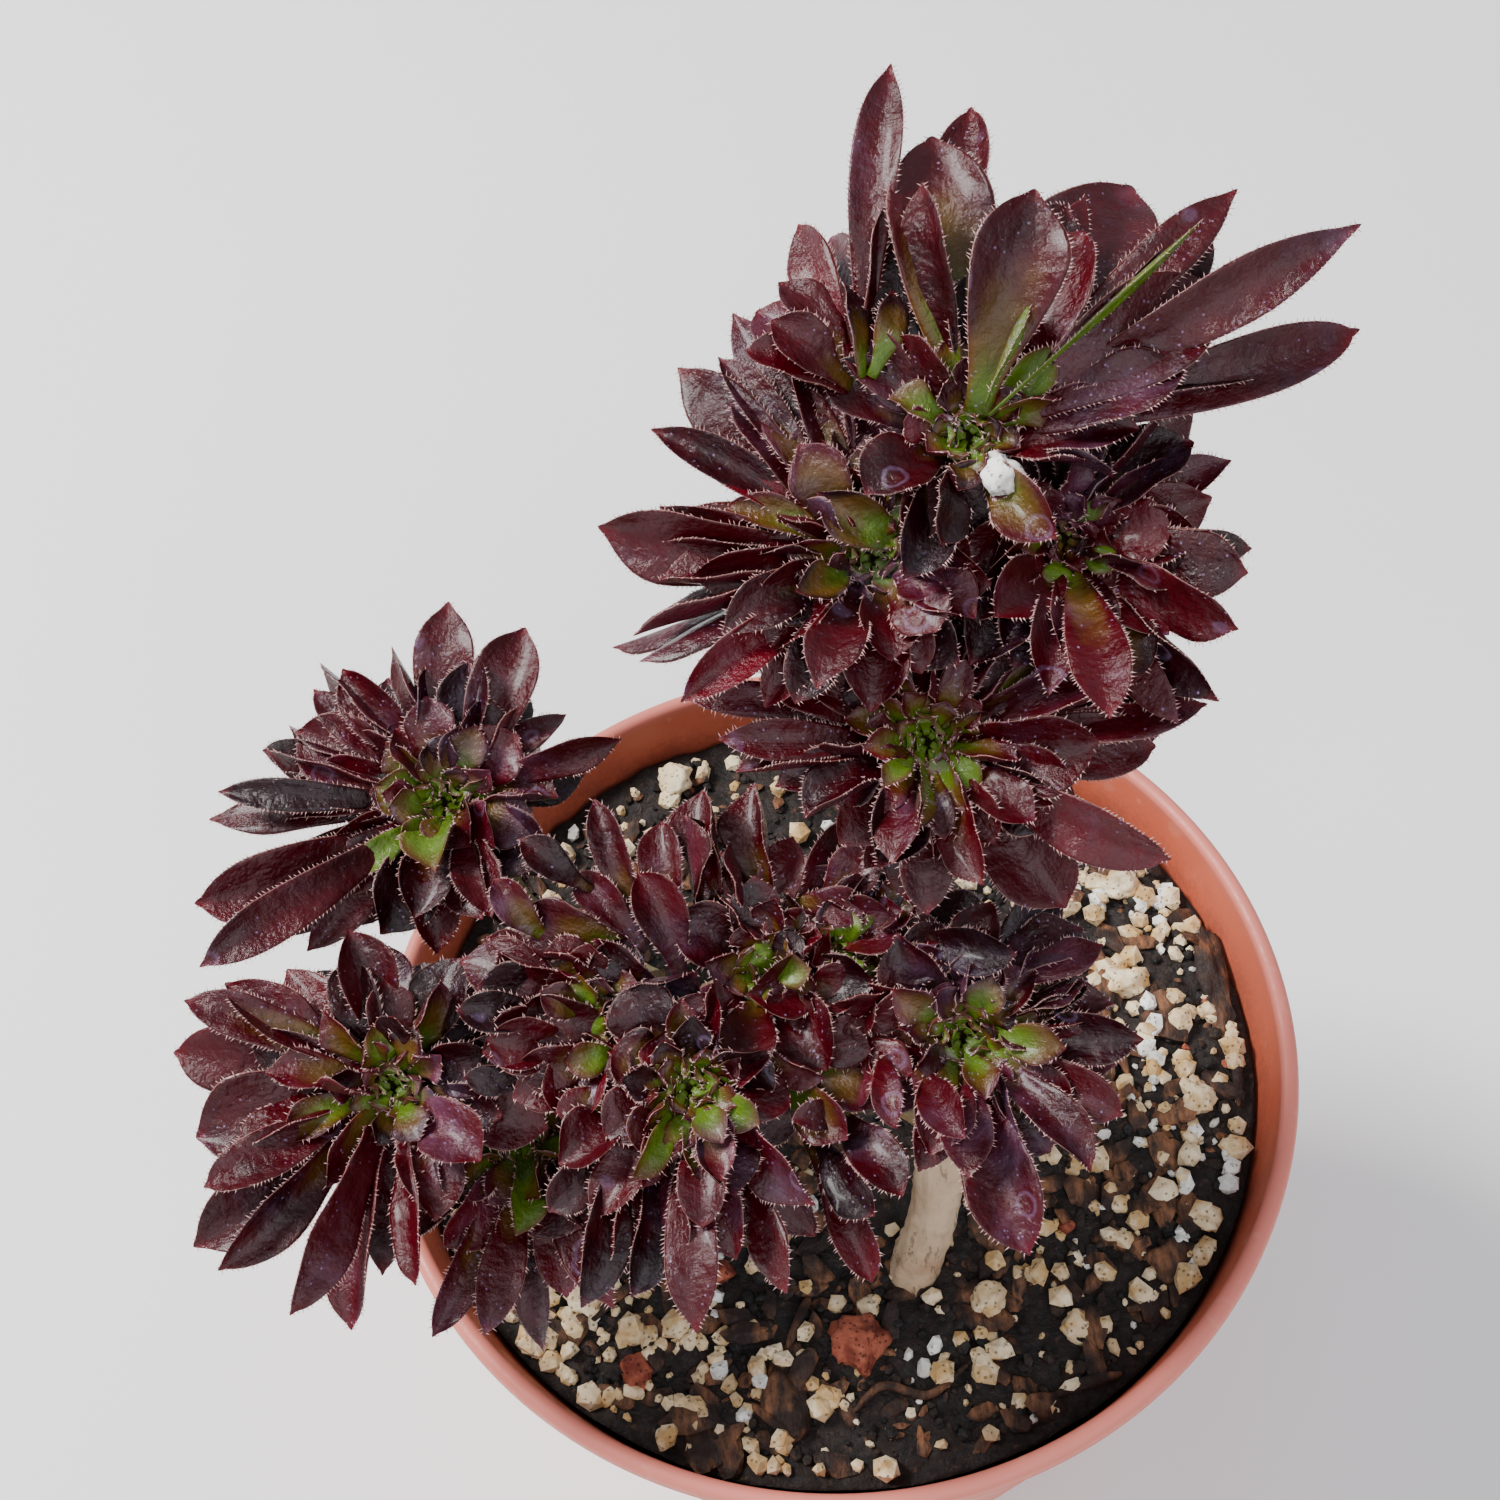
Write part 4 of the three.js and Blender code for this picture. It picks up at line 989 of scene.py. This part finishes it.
def turned(profile, segments):
    # profile points (radius, height) turned about Z; the first and last points lie on the axis
    turn = fullTurn(segments)
    ring = profile[1:-1]
    x = ring[:, :1] * np.cos(turn)
    y = ring[:, :1] * np.sin(turn)
    z = np.repeat(ring[:, 1:], segments, 1)
    grid = np.stack([x, y, z], -1)
    verts = np.vstack([[[0, 0, profile[0, 1]]], grid.reshape(-1, 3), [[0, 0, profile[-1, 1]]]])
    faces = gridFaces(len(ring), segments, 1).tolist()
    faces += poleFans(len(ring), segments, 0, len(verts) - 1, 1).tolist()
    return verts, faces


def drillHoles(piece):
    # cuts a cylinder at each equal step round the ring of holes
    p = potShape
    for i in range(p["holes"]):
        turn = 2 * math.pi * i / p["holes"]
        bpy.ops.mesh.primitive_cylinder_add(
            vertices=40, radius=p["holeRadius"], depth=12 * mm,
            location=(p["holeRing"] * math.cos(turn), p["holeRing"] * math.sin(turn), 0),
        )
        drill = bpy.context.active_object
        cut = piece.modifiers.new("drain", "BOOLEAN")
        cut.operation = "DIFFERENCE"
        cut.solver = "EXACT"
        cut.object = drill
        bpy.context.view_layer.objects.active = piece
        bpy.ops.object.modifier_apply(modifier=cut.name)
        bpy.data.objects.remove(drill)


def makePotMaterial():
    c, p = potColours, potShape
    material, n, shader = newMaterial("potPlastic", 0.5)
    place = n.add("ShaderNodeSeparateXYZ")
    n.put(place, 0, n.place())
    height = place.outputs[2]
    grain = useGroup(n, grainGroup, Scale=1500.0, Coarse=0.5)
    cloud = n.noise(28.0, 4.0, 0.6)
    base = n.mix(n.steps(cloud, 0.25, 0.75), c["wall"], c["wallLight"])
    # the lip's top is painted paler pink as a painted highlight on the rim's edge, and the wall above the soil
    # carries dried splashes
    lip = n.steps(height, p["height"] - 2.2 * mm, p["height"])
    base = n.cover(base, lip, 0.7, c["lip"])
    marks = useGroup(n, splashGroup, Ring_scale=120.0, Speck_scale=420.0)
    # painted shade on the inner wall just above the soil: how far in from the outer wall's slope, and how near
    # the soil
    x, y = place.outputs[0], place.outputs[1]
    across = n.math("SQRT", n.plus(n.times(x, x), n.times(y, y)))
    slope = (p["rim"] - p["lipStand"] - p["base"]) / (p["height"] - p["lip"])
    outer = n.plus(n.times(height, slope), p["base"])
    within = n.steps(n.less(outer, across), 0.4 * mm, 1.0 * mm)
    inside = n.times(n.steps(height, soilTop, soilTop + 6 * mm, 1.0, 0.0), within)
    base = n.cover(base, n.times(inside, grain["Mask"]), 0.35, c["innerWallShade"])
    base = n.cover(base, marks["Specks"], 0.22, c["splash"])
    base = n.cover(base, marks["Rings"], 0.1, c["splash"])
    n.put(shader, "Base Color", base)
    n.put(shader, "Roughness", n.plus(0.4, n.times(grain["Mask"], 0.18)))
    bump(n, shader, grain["Height"], 0.00012, 0.4)
    return material


potVerts, potFaces = turned(potProfile(), potShape["segments"])
pot = makePiece("nurseryPot", potVerts, potFaces, [makePotMaterial()], ["pot"])
drillHoles(pot)
print("pot made")

soilShape = {
    "segments": 260,
    "rings": 96,
    "seed": 11,
    "rough": 1.5 * mm,
    "sink": 0.72,  # the share of the roughness that lies under the mound
    "clods": [(1.5, 9), (1.0, 3.4), (0.5, 1.5), (0.25, 0.7)],  # how strong, and how big in mm
}
soilLow, soilHigh = boxOf("potting_mix")
soilRadius = (soilHigh[0] - soilLow[0]) / 2


def soilHeight(x, y):
    # the mound, soilMound * (1 - r^2), with four sizes of value noise for clods and crumbs
    r = np.hypot(x, y) / soilRadius
    p = np.stack([x, y, 0 * x], -1)
    lumps = 0
    for step, (share, cell) in enumerate(soilShape["clods"]):
        lumps = lumps + share * lumpNoise(p, cell * mm, soilShape["seed"] + step)
    return soilTop + soilMound * (1 - r**2) + (lumps / 3 - soilShape["sink"]) * soilShape["rough"] * 2


def makeSoilMaterial():
    material, n, shader = newMaterial("pottingMix", 0.9)
    grain = useGroup(n, grainGroup, Scale=900.0, Coarse=0.4)
    crumbs = n.noise(420.0, 5.0, 0.7)
    dark = n.mix(n.steps(crumbs, 0.3, 0.6), colour(13, 9, 8), colour(36, 25, 20))
    specks = n.steps(n.noise(1300.0, 2.0), 0.6, 0.75)
    dark = n.cover(dark, specks, 0.5, colour(86, 64, 48))
    n.put(shader, "Base Color", dark)
    n.put(shader, "Roughness", n.plus(0.62, n.times(grain["Mask"], 0.3)))
    bump(n, shader, n.plus(grain["Height"], crumbs), 0.0008, 0.9)
    return material


def makeSoil():
    # rings from the underside up the side, then over the top at soilHeight to the middle
    s = soilShape
    turn = fullTurn(s["segments"])
    bottom = soilLow[2]
    side = [(35 * mm, bottom), (37 * mm, bottom + 2 * mm), (soilRadius - 0.8 * mm, soilTop - 2.5 * mm)]
    radii = np.linspace(1, 0, s["rings"] + 1)[:-1] * (soilRadius - 0.1 * mm)
    x = radii[:, None] * np.cos(turn)
    y = radii[:, None] * np.sin(turn)
    top = np.stack([x, y, soilHeight(x, y)], -1)
    wall = np.array([[(r * math.cos(a), r * math.sin(a), z) for a in turn] for r, z in side])
    centreZ = float(soilHeight(np.zeros(1), np.zeros(1))[0])
    grid = np.concatenate([wall, top]).reshape(-1, 3)
    verts = np.vstack([[[0, 0, bottom]], grid, [[0, 0, centreZ]]])
    rows = len(side) + s["rings"]
    faces = gridFaces(rows, s["segments"], 1).tolist()
    faces += poleFans(rows, s["segments"], 0, len(verts) - 1, 1).tolist()
    makePiece("pottingMix", verts, faces, [makeSoilMaterial()], ["potting_mix"])


makeSoil()
print("potting mix made")


def ballPoints(level):
    # a unit icosphere's points and faces
    bpy.ops.mesh.primitive_ico_sphere_add(subdivisions=level, radius=1)
    ball = bpy.context.active_object
    points = np.array([v.co[:] for v in ball.data.vertices])
    faces = np.array([p.vertices[:] for p in ball.data.polygons])
    bpy.data.objects.remove(ball)
    return points, faces


def makeStoneMaterial(name, *shades):
    dark, light, poreShade = (colour(*shade) for shade in shades)
    material, n, shader = newMaterial(name, 0.85)
    grain = useGroup(n, grainGroup, Scale=700.0, Coarse=0.5)
    patch = n.noise(260.0, 4.0, 0.6)
    skin = n.mix(n.steps(patch, 0.36, 0.64), dark, light)
    skin = n.mix(n.steps(n.noise(130.0, 1.0), 0.55, 0.72, 0.0, 0.6), skin, dark)  # some stones darker
    # the pores sink in the bump and are painted darker as painted shade in their hollows
    pores = n.add("ShaderNodeTexVoronoi", {"feature": "F1"}, Scale=1300.0)
    n.put(pores, "Vector", n.place())
    hole = n.steps(pores.outputs["Distance"], 0.28, 0.12)
    skin = n.cover(skin, hole, 0.6, poreShade)
    skin = n.cover(skin, n.steps(grain["Mask"], 0.6, 1.0), 0.25, colour(62, 44, 32))
    n.put(shader, "Base Color", skin)
    bump(n, shader, n.less(grain["Height"], n.times(hole, 0.5)), 0.0006, 0.9)
    return material


def makeBarkMaterial(name, *shades):
    dark, light = (colour(*shade) for shade in shades)
    material, n, shader = newMaterial(name, 0.8)
    fibre = n.noise(900.0, 4.0, 0.65, n.stretched(1.0, 0.25, 1.0))
    piece = n.noise(190.0, 2.0)  # some pieces darker than others
    grain = useGroup(n, grainGroup, Scale=1300.0, Coarse=0.3)
    skin = n.mix(n.steps(fibre, 0.3, 0.7), dark, light)
    n.put(shader, "Base Color", n.mix(n.steps(piece, 0.62, 0.38), skin, dark))
    n.put(shader, "Roughness", n.plus(0.62, n.times(grain["Mask"], 0.25)))
    bump(n, shader, n.plus(fibre, grain["Height"]), 0.0005, 0.9)
    return material


# by what a stone is made of, each with its dark, light and, for stones, the colour painted into its pores as
# shade
stoneMaterials = {
    "pumice": makeStoneMaterial("pumiceStone", (192, 154, 100), (238, 220, 184), (126, 92, 58)),
    "lava": makeStoneMaterial("lavaStone", (104, 42, 28), (178, 98, 72), (60, 28, 20)),
    "perlite": makeStoneMaterial("perliteGrain", (212, 208, 198), (246, 244, 238), (170, 160, 146)),
    "crumb": makeBarkMaterial("soilCrumb", (18, 13, 11), (60, 43, 33)),
    "bark": makeBarkMaterial("barkChip", (38, 23, 16), (138, 92, 62)),
}


def stoneShape(level, rng, rough, flats):
    # a ball cut by random flats: each direction's radius is the least of 1 and d / (direction . flat),
    # roughened by value noise
    points, faces = ballPoints(level)
    flatDirections = unit(rng.normal(size=(flats, 3)))
    distances = rng.uniform(0.62, 0.92, flats)
    facing = np.maximum(points @ flatDirections.T, 1e-3)
    radius = np.minimum(1.0, (distances / facing).min(1))
    radius = radius * (1 - rough * (lumpNoise(points + 9, 0.45, int(rng.integers(999))) - 0.5))
    radius = radius * (1 - 0.5 * rough * (lumpNoise(points + 4, 0.16, int(rng.integers(999))) - 0.5))
    return points * radius[:, None], faces


namedStones = {"seed": 23, "rough": 0.38, "flats": 10, "swell": 1.04, "perliteSwell": 1.5}


def makeNamedStones():
    # one lumpy stone for each stone node, as big as the node's box times its swell
    s = namedStones
    rng = np.random.default_rng(s["seed"])
    for node in sorted(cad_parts):
        kind = node.split("_")[0]
        if kind not in stoneMaterials:  # stones are named after what they are made of
            continue
        low, high = boxOf(node)
        points, faces = stoneShape(4, rng, s["rough"], s["flats"])
        span = points.max(0) - points.min(0)
        points = (points - (points.max(0) + points.min(0)) / 2) / span
        swell = s["perliteSwell"] if kind == "perlite" else s["swell"]
        points = points * (high - low) * swell + (low + high) / 2
        makePiece("stone_" + node, points, faces.tolist(), [stoneMaterials[kind]], [node])


def spun(stack, angle, one, two):
    # turns two of each stone's coordinates by its angle: p cos - q sin and p sin + q cos
    c, s = np.cos(angle)[:, None], np.sin(angle)[:, None]
    p, q = stack[..., one], stack[..., two]
    stack = stack.copy()
    stack[..., one], stack[..., two] = p * c - q * s, p * s + q * c
    return stack


def scatterGrit(name, rng, kind, count, sizes, flat, level=1, patches=(), long=1.0):
    # copies of a few lumpy shapes, each turned, stretched and half sunk in the soil at a random place
    shapes = [stoneShape(level, rng, 0.3, 5) for _ in range(6)]
    faces = shapes[0][1]
    stack = np.array([s[0] for s in shapes])[rng.integers(0, 6, count)]
    angle = rng.uniform(0, 2 * np.pi, count)
    distance = (soilRadius - 2.5 * mm) * np.sqrt(rng.random(count))
    x, y = distance * np.cos(angle), distance * np.sin(angle)
    for share, px, py, spread in patches:
        here = rng.random(count) < share
        x = np.where(here, px * mm + rng.normal(0, spread * mm, count), x)
        y = np.where(here, py * mm + rng.normal(0, spread * mm, count), y)
    far = np.hypot(x, y)
    limit = soilRadius - 2.2 * mm
    x, y = x * np.minimum(1, limit / far), y * np.minimum(1, limit / far)
    size = rng.uniform(0, 1, count) ** 1.7 * (sizes[1] - sizes[0]) + sizes[0]
    scale = np.stack([size * long, size * rng.uniform(0.6, 0.95, count), size * flat], 1) * mm / 2
    stack = stack * scale[:, None, :]
    turn = rng.uniform(0, 2 * np.pi, count)
    lean = rng.normal(0, 0.35, count)
    stack = spun(spun(stack, lean, 2, 0), turn, 0, 1)
    ground = soilHeight(x, y) + scale[:, 2] * rng.uniform(0.2, 0.9, count)
    stack = stack + np.stack([x, y, ground], -1)[:, None, :]
    each = stack.shape[1]
    allFaces = (faces[None] + (np.arange(count) * each)[:, None, None]).reshape(-1, 3)
    makePiece(name, stack, allFaces.tolist(), [stoneMaterials[kind]], rounded=False)


# sizes in mm, flat and long multiply a stone's height and length, and each patch gathers a share of the
# stones about a place: (share, x, y, spread)
grit = {
    "pumiceGrit": {
        "kind": "pumice", "count": 780, "sizes": (1.1, 4.4), "flat": 0.75,
        "patches": [(0.18, 38, 22, 9), (0.1, 42, -8, 9), (0.1, 28, -30, 9), (0.08, -14, -44, 8),
                    (0.09, -34, -32, 8)],
    },
    "perliteGrit": {
        "kind": "perlite", "count": 170, "sizes": (0.9, 3.4), "flat": 0.8,
        "patches": [(0.35, 40, 22, 6), (0.25, 38, -16, 8)],
    },
    "lavaGrit": {"kind": "lava", "count": 26, "sizes": (1.0, 3.0), "flat": 0.7, "level": 2},
    "barkGrit": {"kind": "bark", "count": 900, "sizes": (0.9, 5.5), "flat": 0.3, "long": 1.6},
    "soilCrumbs": {"kind": "crumb", "count": 1900, "sizes": (0.5, 2.4), "flat": 0.7},
}
makeNamedStones()
gritRng = np.random.default_rng(41)
for name, settings in grit.items():
    scatterGrit(name, gritRng, **settings)


def onSoil(x, y, height):
    ground = float(soilHeight(np.array([x * mm]), np.array([y * mm]))[0])
    return (x * mm, y * mm, ground + height * mm)


def litterPiece(name, path, radius, count, seed, flat):
    # a tube on a smooth path over the soil that tapers to both ends as sin^0.35, roughened by value noise
    middle = smoothPath([onSoil(*place) for place in path], count)
    heading = unit(np.gradient(middle, axis=0))
    one = unit(np.cross(heading, [0, 0, 1.0]))
    two = np.cross(one, heading)
    around = 10
    radius = radius * mm
    size = radius * np.sin(np.pi * np.linspace(0.02, 0.98, count)) ** 0.35
    size = size * (0.7 + 0.6 * lumpNoise(middle, 3 * mm, seed))
    ring = ringsAlong(middle, one, two, size[:, None], fullTurn(around), flat)
    ends = heading[[0, -1]] * 0.3 * radius
    verts = np.vstack([ring.reshape(-1, 3), middle[0] - ends[0], middle[-1] + ends[1]])
    faces = gridFaces(count, around)[:, ::-1].tolist()
    faces += poleFans(count, around, count * around, count * around + 1)[:, ::-1].tolist()
    makePiece(name, verts, faces, [stoneMaterials["bark"]])


# each with its path (x, y and height over the soil), radius in mm, rings, noise seed and flatness
litter = {
    "dryStick": ([(31, 34, 0.8), (37, 30, 1.6), (46, 26, 0.8)], 1.1, 30, 3, 0.8),
    "dryLeaf": ([(35, 31, 5.5), (41, 27, 4.5), (46.5, 22, 1.2)], 1.5, 30, 5, 0.25),
    "thinRoot": ([(-3, -44, 0.4), (1, -41.5, 1.2), (6, -43, 0.9), (11, -40, 0.3)], 0.55, 40, 7, 1.0),
}
# x, y, length and angle of each fibre
fibres = [
    (-30, -28, 8, 0.6), (-12, -44, 7, 2.4), (24, -44, 9, 0.2), (36, -2, 9, 1.7), (50, -8, 8, 1.4),
    (-8, -33, 7, 1.1),
]
for number, (x, y, long, angle) in enumerate(fibres):
    dx, dy = long / 2 * math.cos(angle), long / 2 * math.sin(angle)
    path = [(x - dx, y - dy, 0.5), (x, y, 1.0), (x + dx, y + dy, 0.4)]
    litter["fibre" + str(number)] = (path, 0.7, 16, number, 0.7)
for name, settings in litter.items():
    litterPiece(name, *settings)
print("stones and grit made")


def limbMesh(path, radii, count, around, ridges, seed):
    # a ring carried along a smooth path. Its radius is blended along the path and raised by lengthwise
    # ridges, sin(9 * turn), leaf scars where two spirals cross, and value noise. Radii are in mm.
    middle = smoothPath(path, count)
    heading = unit(np.gradient(middle, axis=0))
    side = np.array([1.0, 0.1, 0.05])
    one = unit(side - (heading @ side)[:, None] * heading)
    two = np.cross(heading, one)
    radius = smoothPath((np.array(radii) * mm)[:, None], count)
    turn = fullTurn(around)[None, :]
    step = np.concatenate([[0], np.cumsum(np.linalg.norm(np.diff(middle, axis=0), axis=1))])[:, None]
    scars = np.clip(np.cos(turn * 3 + step / mm * 1.1) * np.cos(turn * 2 - step / mm * 1.7), 0, 1) ** 2
    shape = radius * (1 + ridges * 0.5 * np.sin(turn * 9 + 0.2 * step / mm) + ridges * 1.6 * scars)
    rough = middle[:, None, :] + shape[..., None] * np.cos(turn)[..., None] * one[:, None, :]
    lumps = lumpNoise(rough + shape[..., None] * np.sin(turn)[..., None], 1.4 * mm, seed)
    shape = shape * (1 + 2 * ridges * (lumps - 0.5))
    ring = ringsAlong(middle, one, two, shape, turn)
    verts = np.vstack([middle[:1], ring.reshape(-1, 3), middle[-1:]])
    faces = gridFaces(count, around, 1).tolist()
    faces += poleFans(count, around, 0, len(verts) - 1, 1).tolist()
    return verts, faces


def makeStemMaterial(name, shineBase, *shades):
    low, high, scar = (colour(*shade) for shade in shades)
    material, n, shader = newMaterial(name, 0.7)
    grain = useGroup(n, grainGroup, Scale=1100.0, Coarse=0.45)
    patch = n.noise(90.0, 4.0, 0.6)
    skin = n.mix(n.steps(patch, 0.3, 0.7), low, high)
    crack = n.steps(n.noise(900.0, 5.0, 0.7, n.stretched(1.0, 0.5, 0.16)), 0.56, 0.66)
    skin = n.cover(skin, crack, 0.55, scar)
    n.put(shader, "Base Color", skin)
    n.put(shader, "Roughness", n.plus(shineBase, n.times(grain["Mask"], 0.2)))
    bump(n, shader, n.less(grain["Height"], n.times(crack, 0.4)), 0.0005, 0.8)
    return material


# roughness, then the low, high and scar colours
stemMaterials = {
    "stem_bark": makeStemMaterial("stemBark", 0.6, (172, 140, 108), (212, 186, 154), (120, 90, 64)),
    "stem_green": makeStemMaterial("stemGreen", 0.45, (94, 100, 50), (136, 110, 76), (76, 54, 38)),
}
tipMaterial = makeStemMaterial("tipGreen", 0.5, (58, 66, 24), (74, 42, 26), (40, 16, 16))


tips = {h["node"]: headCentre(h["tip"]) for h in heads} | ridgeCentres
tipRadius = 5.4  # mm, of the growing point behind each head


def behind(node, back=tipRadius + 2.5):
    # the point back mm behind a head's growing tip
    return tips[node] - back * mm * faceOut


# Each stem: its CAD node, piece name and slot, its path and its radii in mm. A path point is a place (x, y
# and height over the soil in mm) or a head with how far behind its tip the stem ends.
stems = [
    ("trunk", "woodyTrunk", "stem_bark", 0.055,
     [(4.5, -30, -28), (6, -28.5, -3), (9.5, -24.5, 12), (10.5, -20, 24), (10.8, -17, 28)],
     [3.3, 3.0, 2.8, 3.0, 3.0]),
    ("upper_stem", "upperStem", "stem_green", 0.05,
     [(10.6, -19, 25.5), (11, -8, 34.5), (11, -0.5, 44), (11, 3, 56), ("upper_crest_front",)],
     [2.7, 2.5, 2.6, 2.9, 3.3]),
    ("lower_stem", "lowerStem", "stem_green", 0.05,
     [(9.5, -19.5, 26), (0, -13.5, 32), ("lower_crest_middle",)], [2.4, 2.3, 3.2]),
    ("branch_left_back", "branchLeftBack", "stem_green", 0.05,
     [(-20, -5, 35), (-27, 1, 33.5), (-35, 9, 32), ("rosette_left_back", tipRadius), ("rosette_left_back", 2)],
     [2.2, 2.2, 2.2, 2.7, 2.8]),
    ("branch_left_front", "branchLeftFront", "stem_green", 0.05,
     [(-24, -7, 35.5), (-38, -5, 31), ("rosette_left_front", tipRadius), ("rosette_left_front", 2)],
     [2.2, 2.2, 2.6, 2.8]),
    ("branch_offset", "branchOffset", "stem_green", 0.05,
     [(-20, -12, 32.5), (-28, -15, 29), ("shaded_offset", tipRadius), ("shaded_offset", 1)],
     [2.0, 2.0, 2.2, 2.4]),
    ("branch_right", "branchRight", "stem_green", 0.05,
     [(11.2, -11, 32), ("lower_crest_right", 5), ("lower_crest_right", 1)], [2.3, 2.5, 3.0]),
]
for node, name, slotName, ridges, path, radii in stems:
    points = [behind(*place) if isinstance(place[0], str) else headCentre(place) for place in path]
    verts, faces = limbMesh(points, radii, 90, 40, ridges, 5)
    makePiece(name, verts, faces, [stemMaterials[slotName]], [node])

# the growing tips that the heart leaves stand on, each a short blunt limb
tipParts = []
for node in tips:
    if node != "upper_crest_tuft":
        points = [behind(node, 7), behind(node, 3), behind(node, -0.2)]
        tipParts.append(limbMesh(points, [2.2, 3.6, 1.2], 24, 24, 0.04, 12))
tipVerts = np.concatenate([verts for verts, _ in tipParts])
each = len(tipParts[0][0])
tipFaces = [[k + each * i for k in face] for i, (_, faces) in enumerate(tipParts) for face in faces]
makePiece("growingTips", tipVerts, tipFaces, [tipMaterial])


def fanMesh(root, arc, rootHalf, thick, rows, columns, seed):
    # a flattened stem that widens like a fan: each row runs across from the root's short line to the arc
    # through the heads, its section an ellipse, with lengthwise grooves and value noise
    arcLine = smoothPath(arc, columns)
    across = unit(arcLine[-1] - arcLine[0])
    rootLine = root + np.linspace(-rootHalf, rootHalf, columns)[:, None] * across
    u = np.linspace(0, 1, rows)[:, None, None]
    sheet = rootLine[None] * (1 - u) + arcLine[None] * u
    v = np.linspace(-1, 1, columns)[None, :]
    half = thick * np.sqrt(np.clip(1.02 - v**2, 0.02, 1)) * (1 - 0.12 * u[..., 0])
    half = half * (1 + 0.1 * np.sin(v * 30)) + 0.8 * mm * (lumpNoise(sheet, 2.2 * mm, seed) - 0.5)
    front = sheet + half[..., None] * faceOut
    back = sheet - half[..., None] * faceOut
    ring = np.concatenate([front, back[:, ::-1]], 1)
    count = ring.shape[1]
    verts = np.vstack([ring.reshape(-1, 3), ring[0].mean(0), ring[-1].mean(0)])
    faces = gridFaces(rows, count).tolist()
    faces += poleFans(rows, count, rows * count, rows * count + 1).tolist()
    return verts, faces


upperArc = [behind("upper_crest_left", 6), behind("upper_crest_tuft", 7), behind("upper_crest_back", 7),
            behind("upper_crest_right", 6)]
verts, faces = fanMesh(behind("upper_crest_front"), upperArc, 3 * mm, 3.2 * mm, 40, 60, 3)
makePiece("upperCrestStem", verts, faces, [stemMaterials["stem_green"]], ["upper_crest_stem"])
lowerLine = [behind("lower_crest_" + place) for place in ("left", "front", "middle", "back")]
verts, faces = limbMesh(lowerLine, [2.8, 3.2, 3.2, 2.8], 80, 36, 0.05, 8)
makePiece("lowerCrestStem", verts, faces, [stemMaterials["stem_green"]], ["lower_crest_stem"])
print("stems made")


def makeStudio():
    # a pale floor, a soft sky, and two lamps that face the plant's middle
    bpy.ops.mesh.primitive_plane_add(size=3.0, location=(0, 0, 0))
    floor = bpy.context.active_object
    floor.name = "paleFloor"
    material, n, shader = newMaterial("paleFloor", 0.8)
    cloud = n.noise(9.0, 4.0)
    n.put(shader, "Base Color", n.mix(cloud, colour(240, 239, 237), colour(248, 247, 245)))
    floor.data.materials.append(material)
    world = bpy.data.worlds.new("softSky")
    world.use_nodes = True
    world.node_tree.nodes["Background"].inputs[0].default_value = (0.86, 0.9, 1.0, 1)
    world.node_tree.nodes["Background"].inputs[1].default_value = 0.62
    bpy.context.scene.world = world
    lamps = [
        ("keyLamp", (-0.7, 0.3, 1.0), 0.36, 25.0, (1.0, 0.985, 0.97)),
        ("frontLamp", (0.1, -0.8, 0.9), 1.0, 8.0, (0.94, 0.96, 1.0)),
    ]
    for name, place, size, power, tint in lamps:
        data = bpy.data.lights.new(name, "AREA")
        data.size = size
        data.energy = power
        data.color = tint
        lamp = bpy.data.objects.new(name, data)
        lamp.location = place
        aim = np.array([0, 0, 0.12]) - np.array(place)
        lamp.rotation_euler = Vector(aim).to_track_quat("-Z", "Y").to_euler()
        bpy.context.scene.collection.objects.link(lamp)


view = {"place": (-0.006, -0.1105, 0.3218), "pitch": 55.6, "roll": -6.5, "lens": 48.0}  # m, degrees, mm


def makeCamera():
    # looks ahead at (0, cos(pitch), -sin(pitch)), turned by its roll about that line
    pitch, roll = math.radians(view["pitch"]), math.radians(view["roll"])
    ahead = np.array([0, math.cos(pitch), -math.sin(pitch)])
    right = np.array([1.0, 0, 0])
    up = np.cross(right, ahead)
    c, s = math.cos(roll), math.sin(roll)
    right, up = c * right + s * up, -s * right + c * up
    data = bpy.data.cameras.new("camera")
    data.lens = view["lens"]
    data.sensor_width = 36.0
    data.clip_start = 0.01
    camera = bpy.data.objects.new("camera", data)
    turn = Matrix(np.stack([right, up, -ahead], 1).tolist()).to_4x4()
    camera.matrix_world = Matrix.Translation(view["place"]) @ turn
    bpy.context.scene.collection.objects.link(camera)
    bpy.context.scene.camera = camera


makeStudio()
makeCamera()
print("studio made")
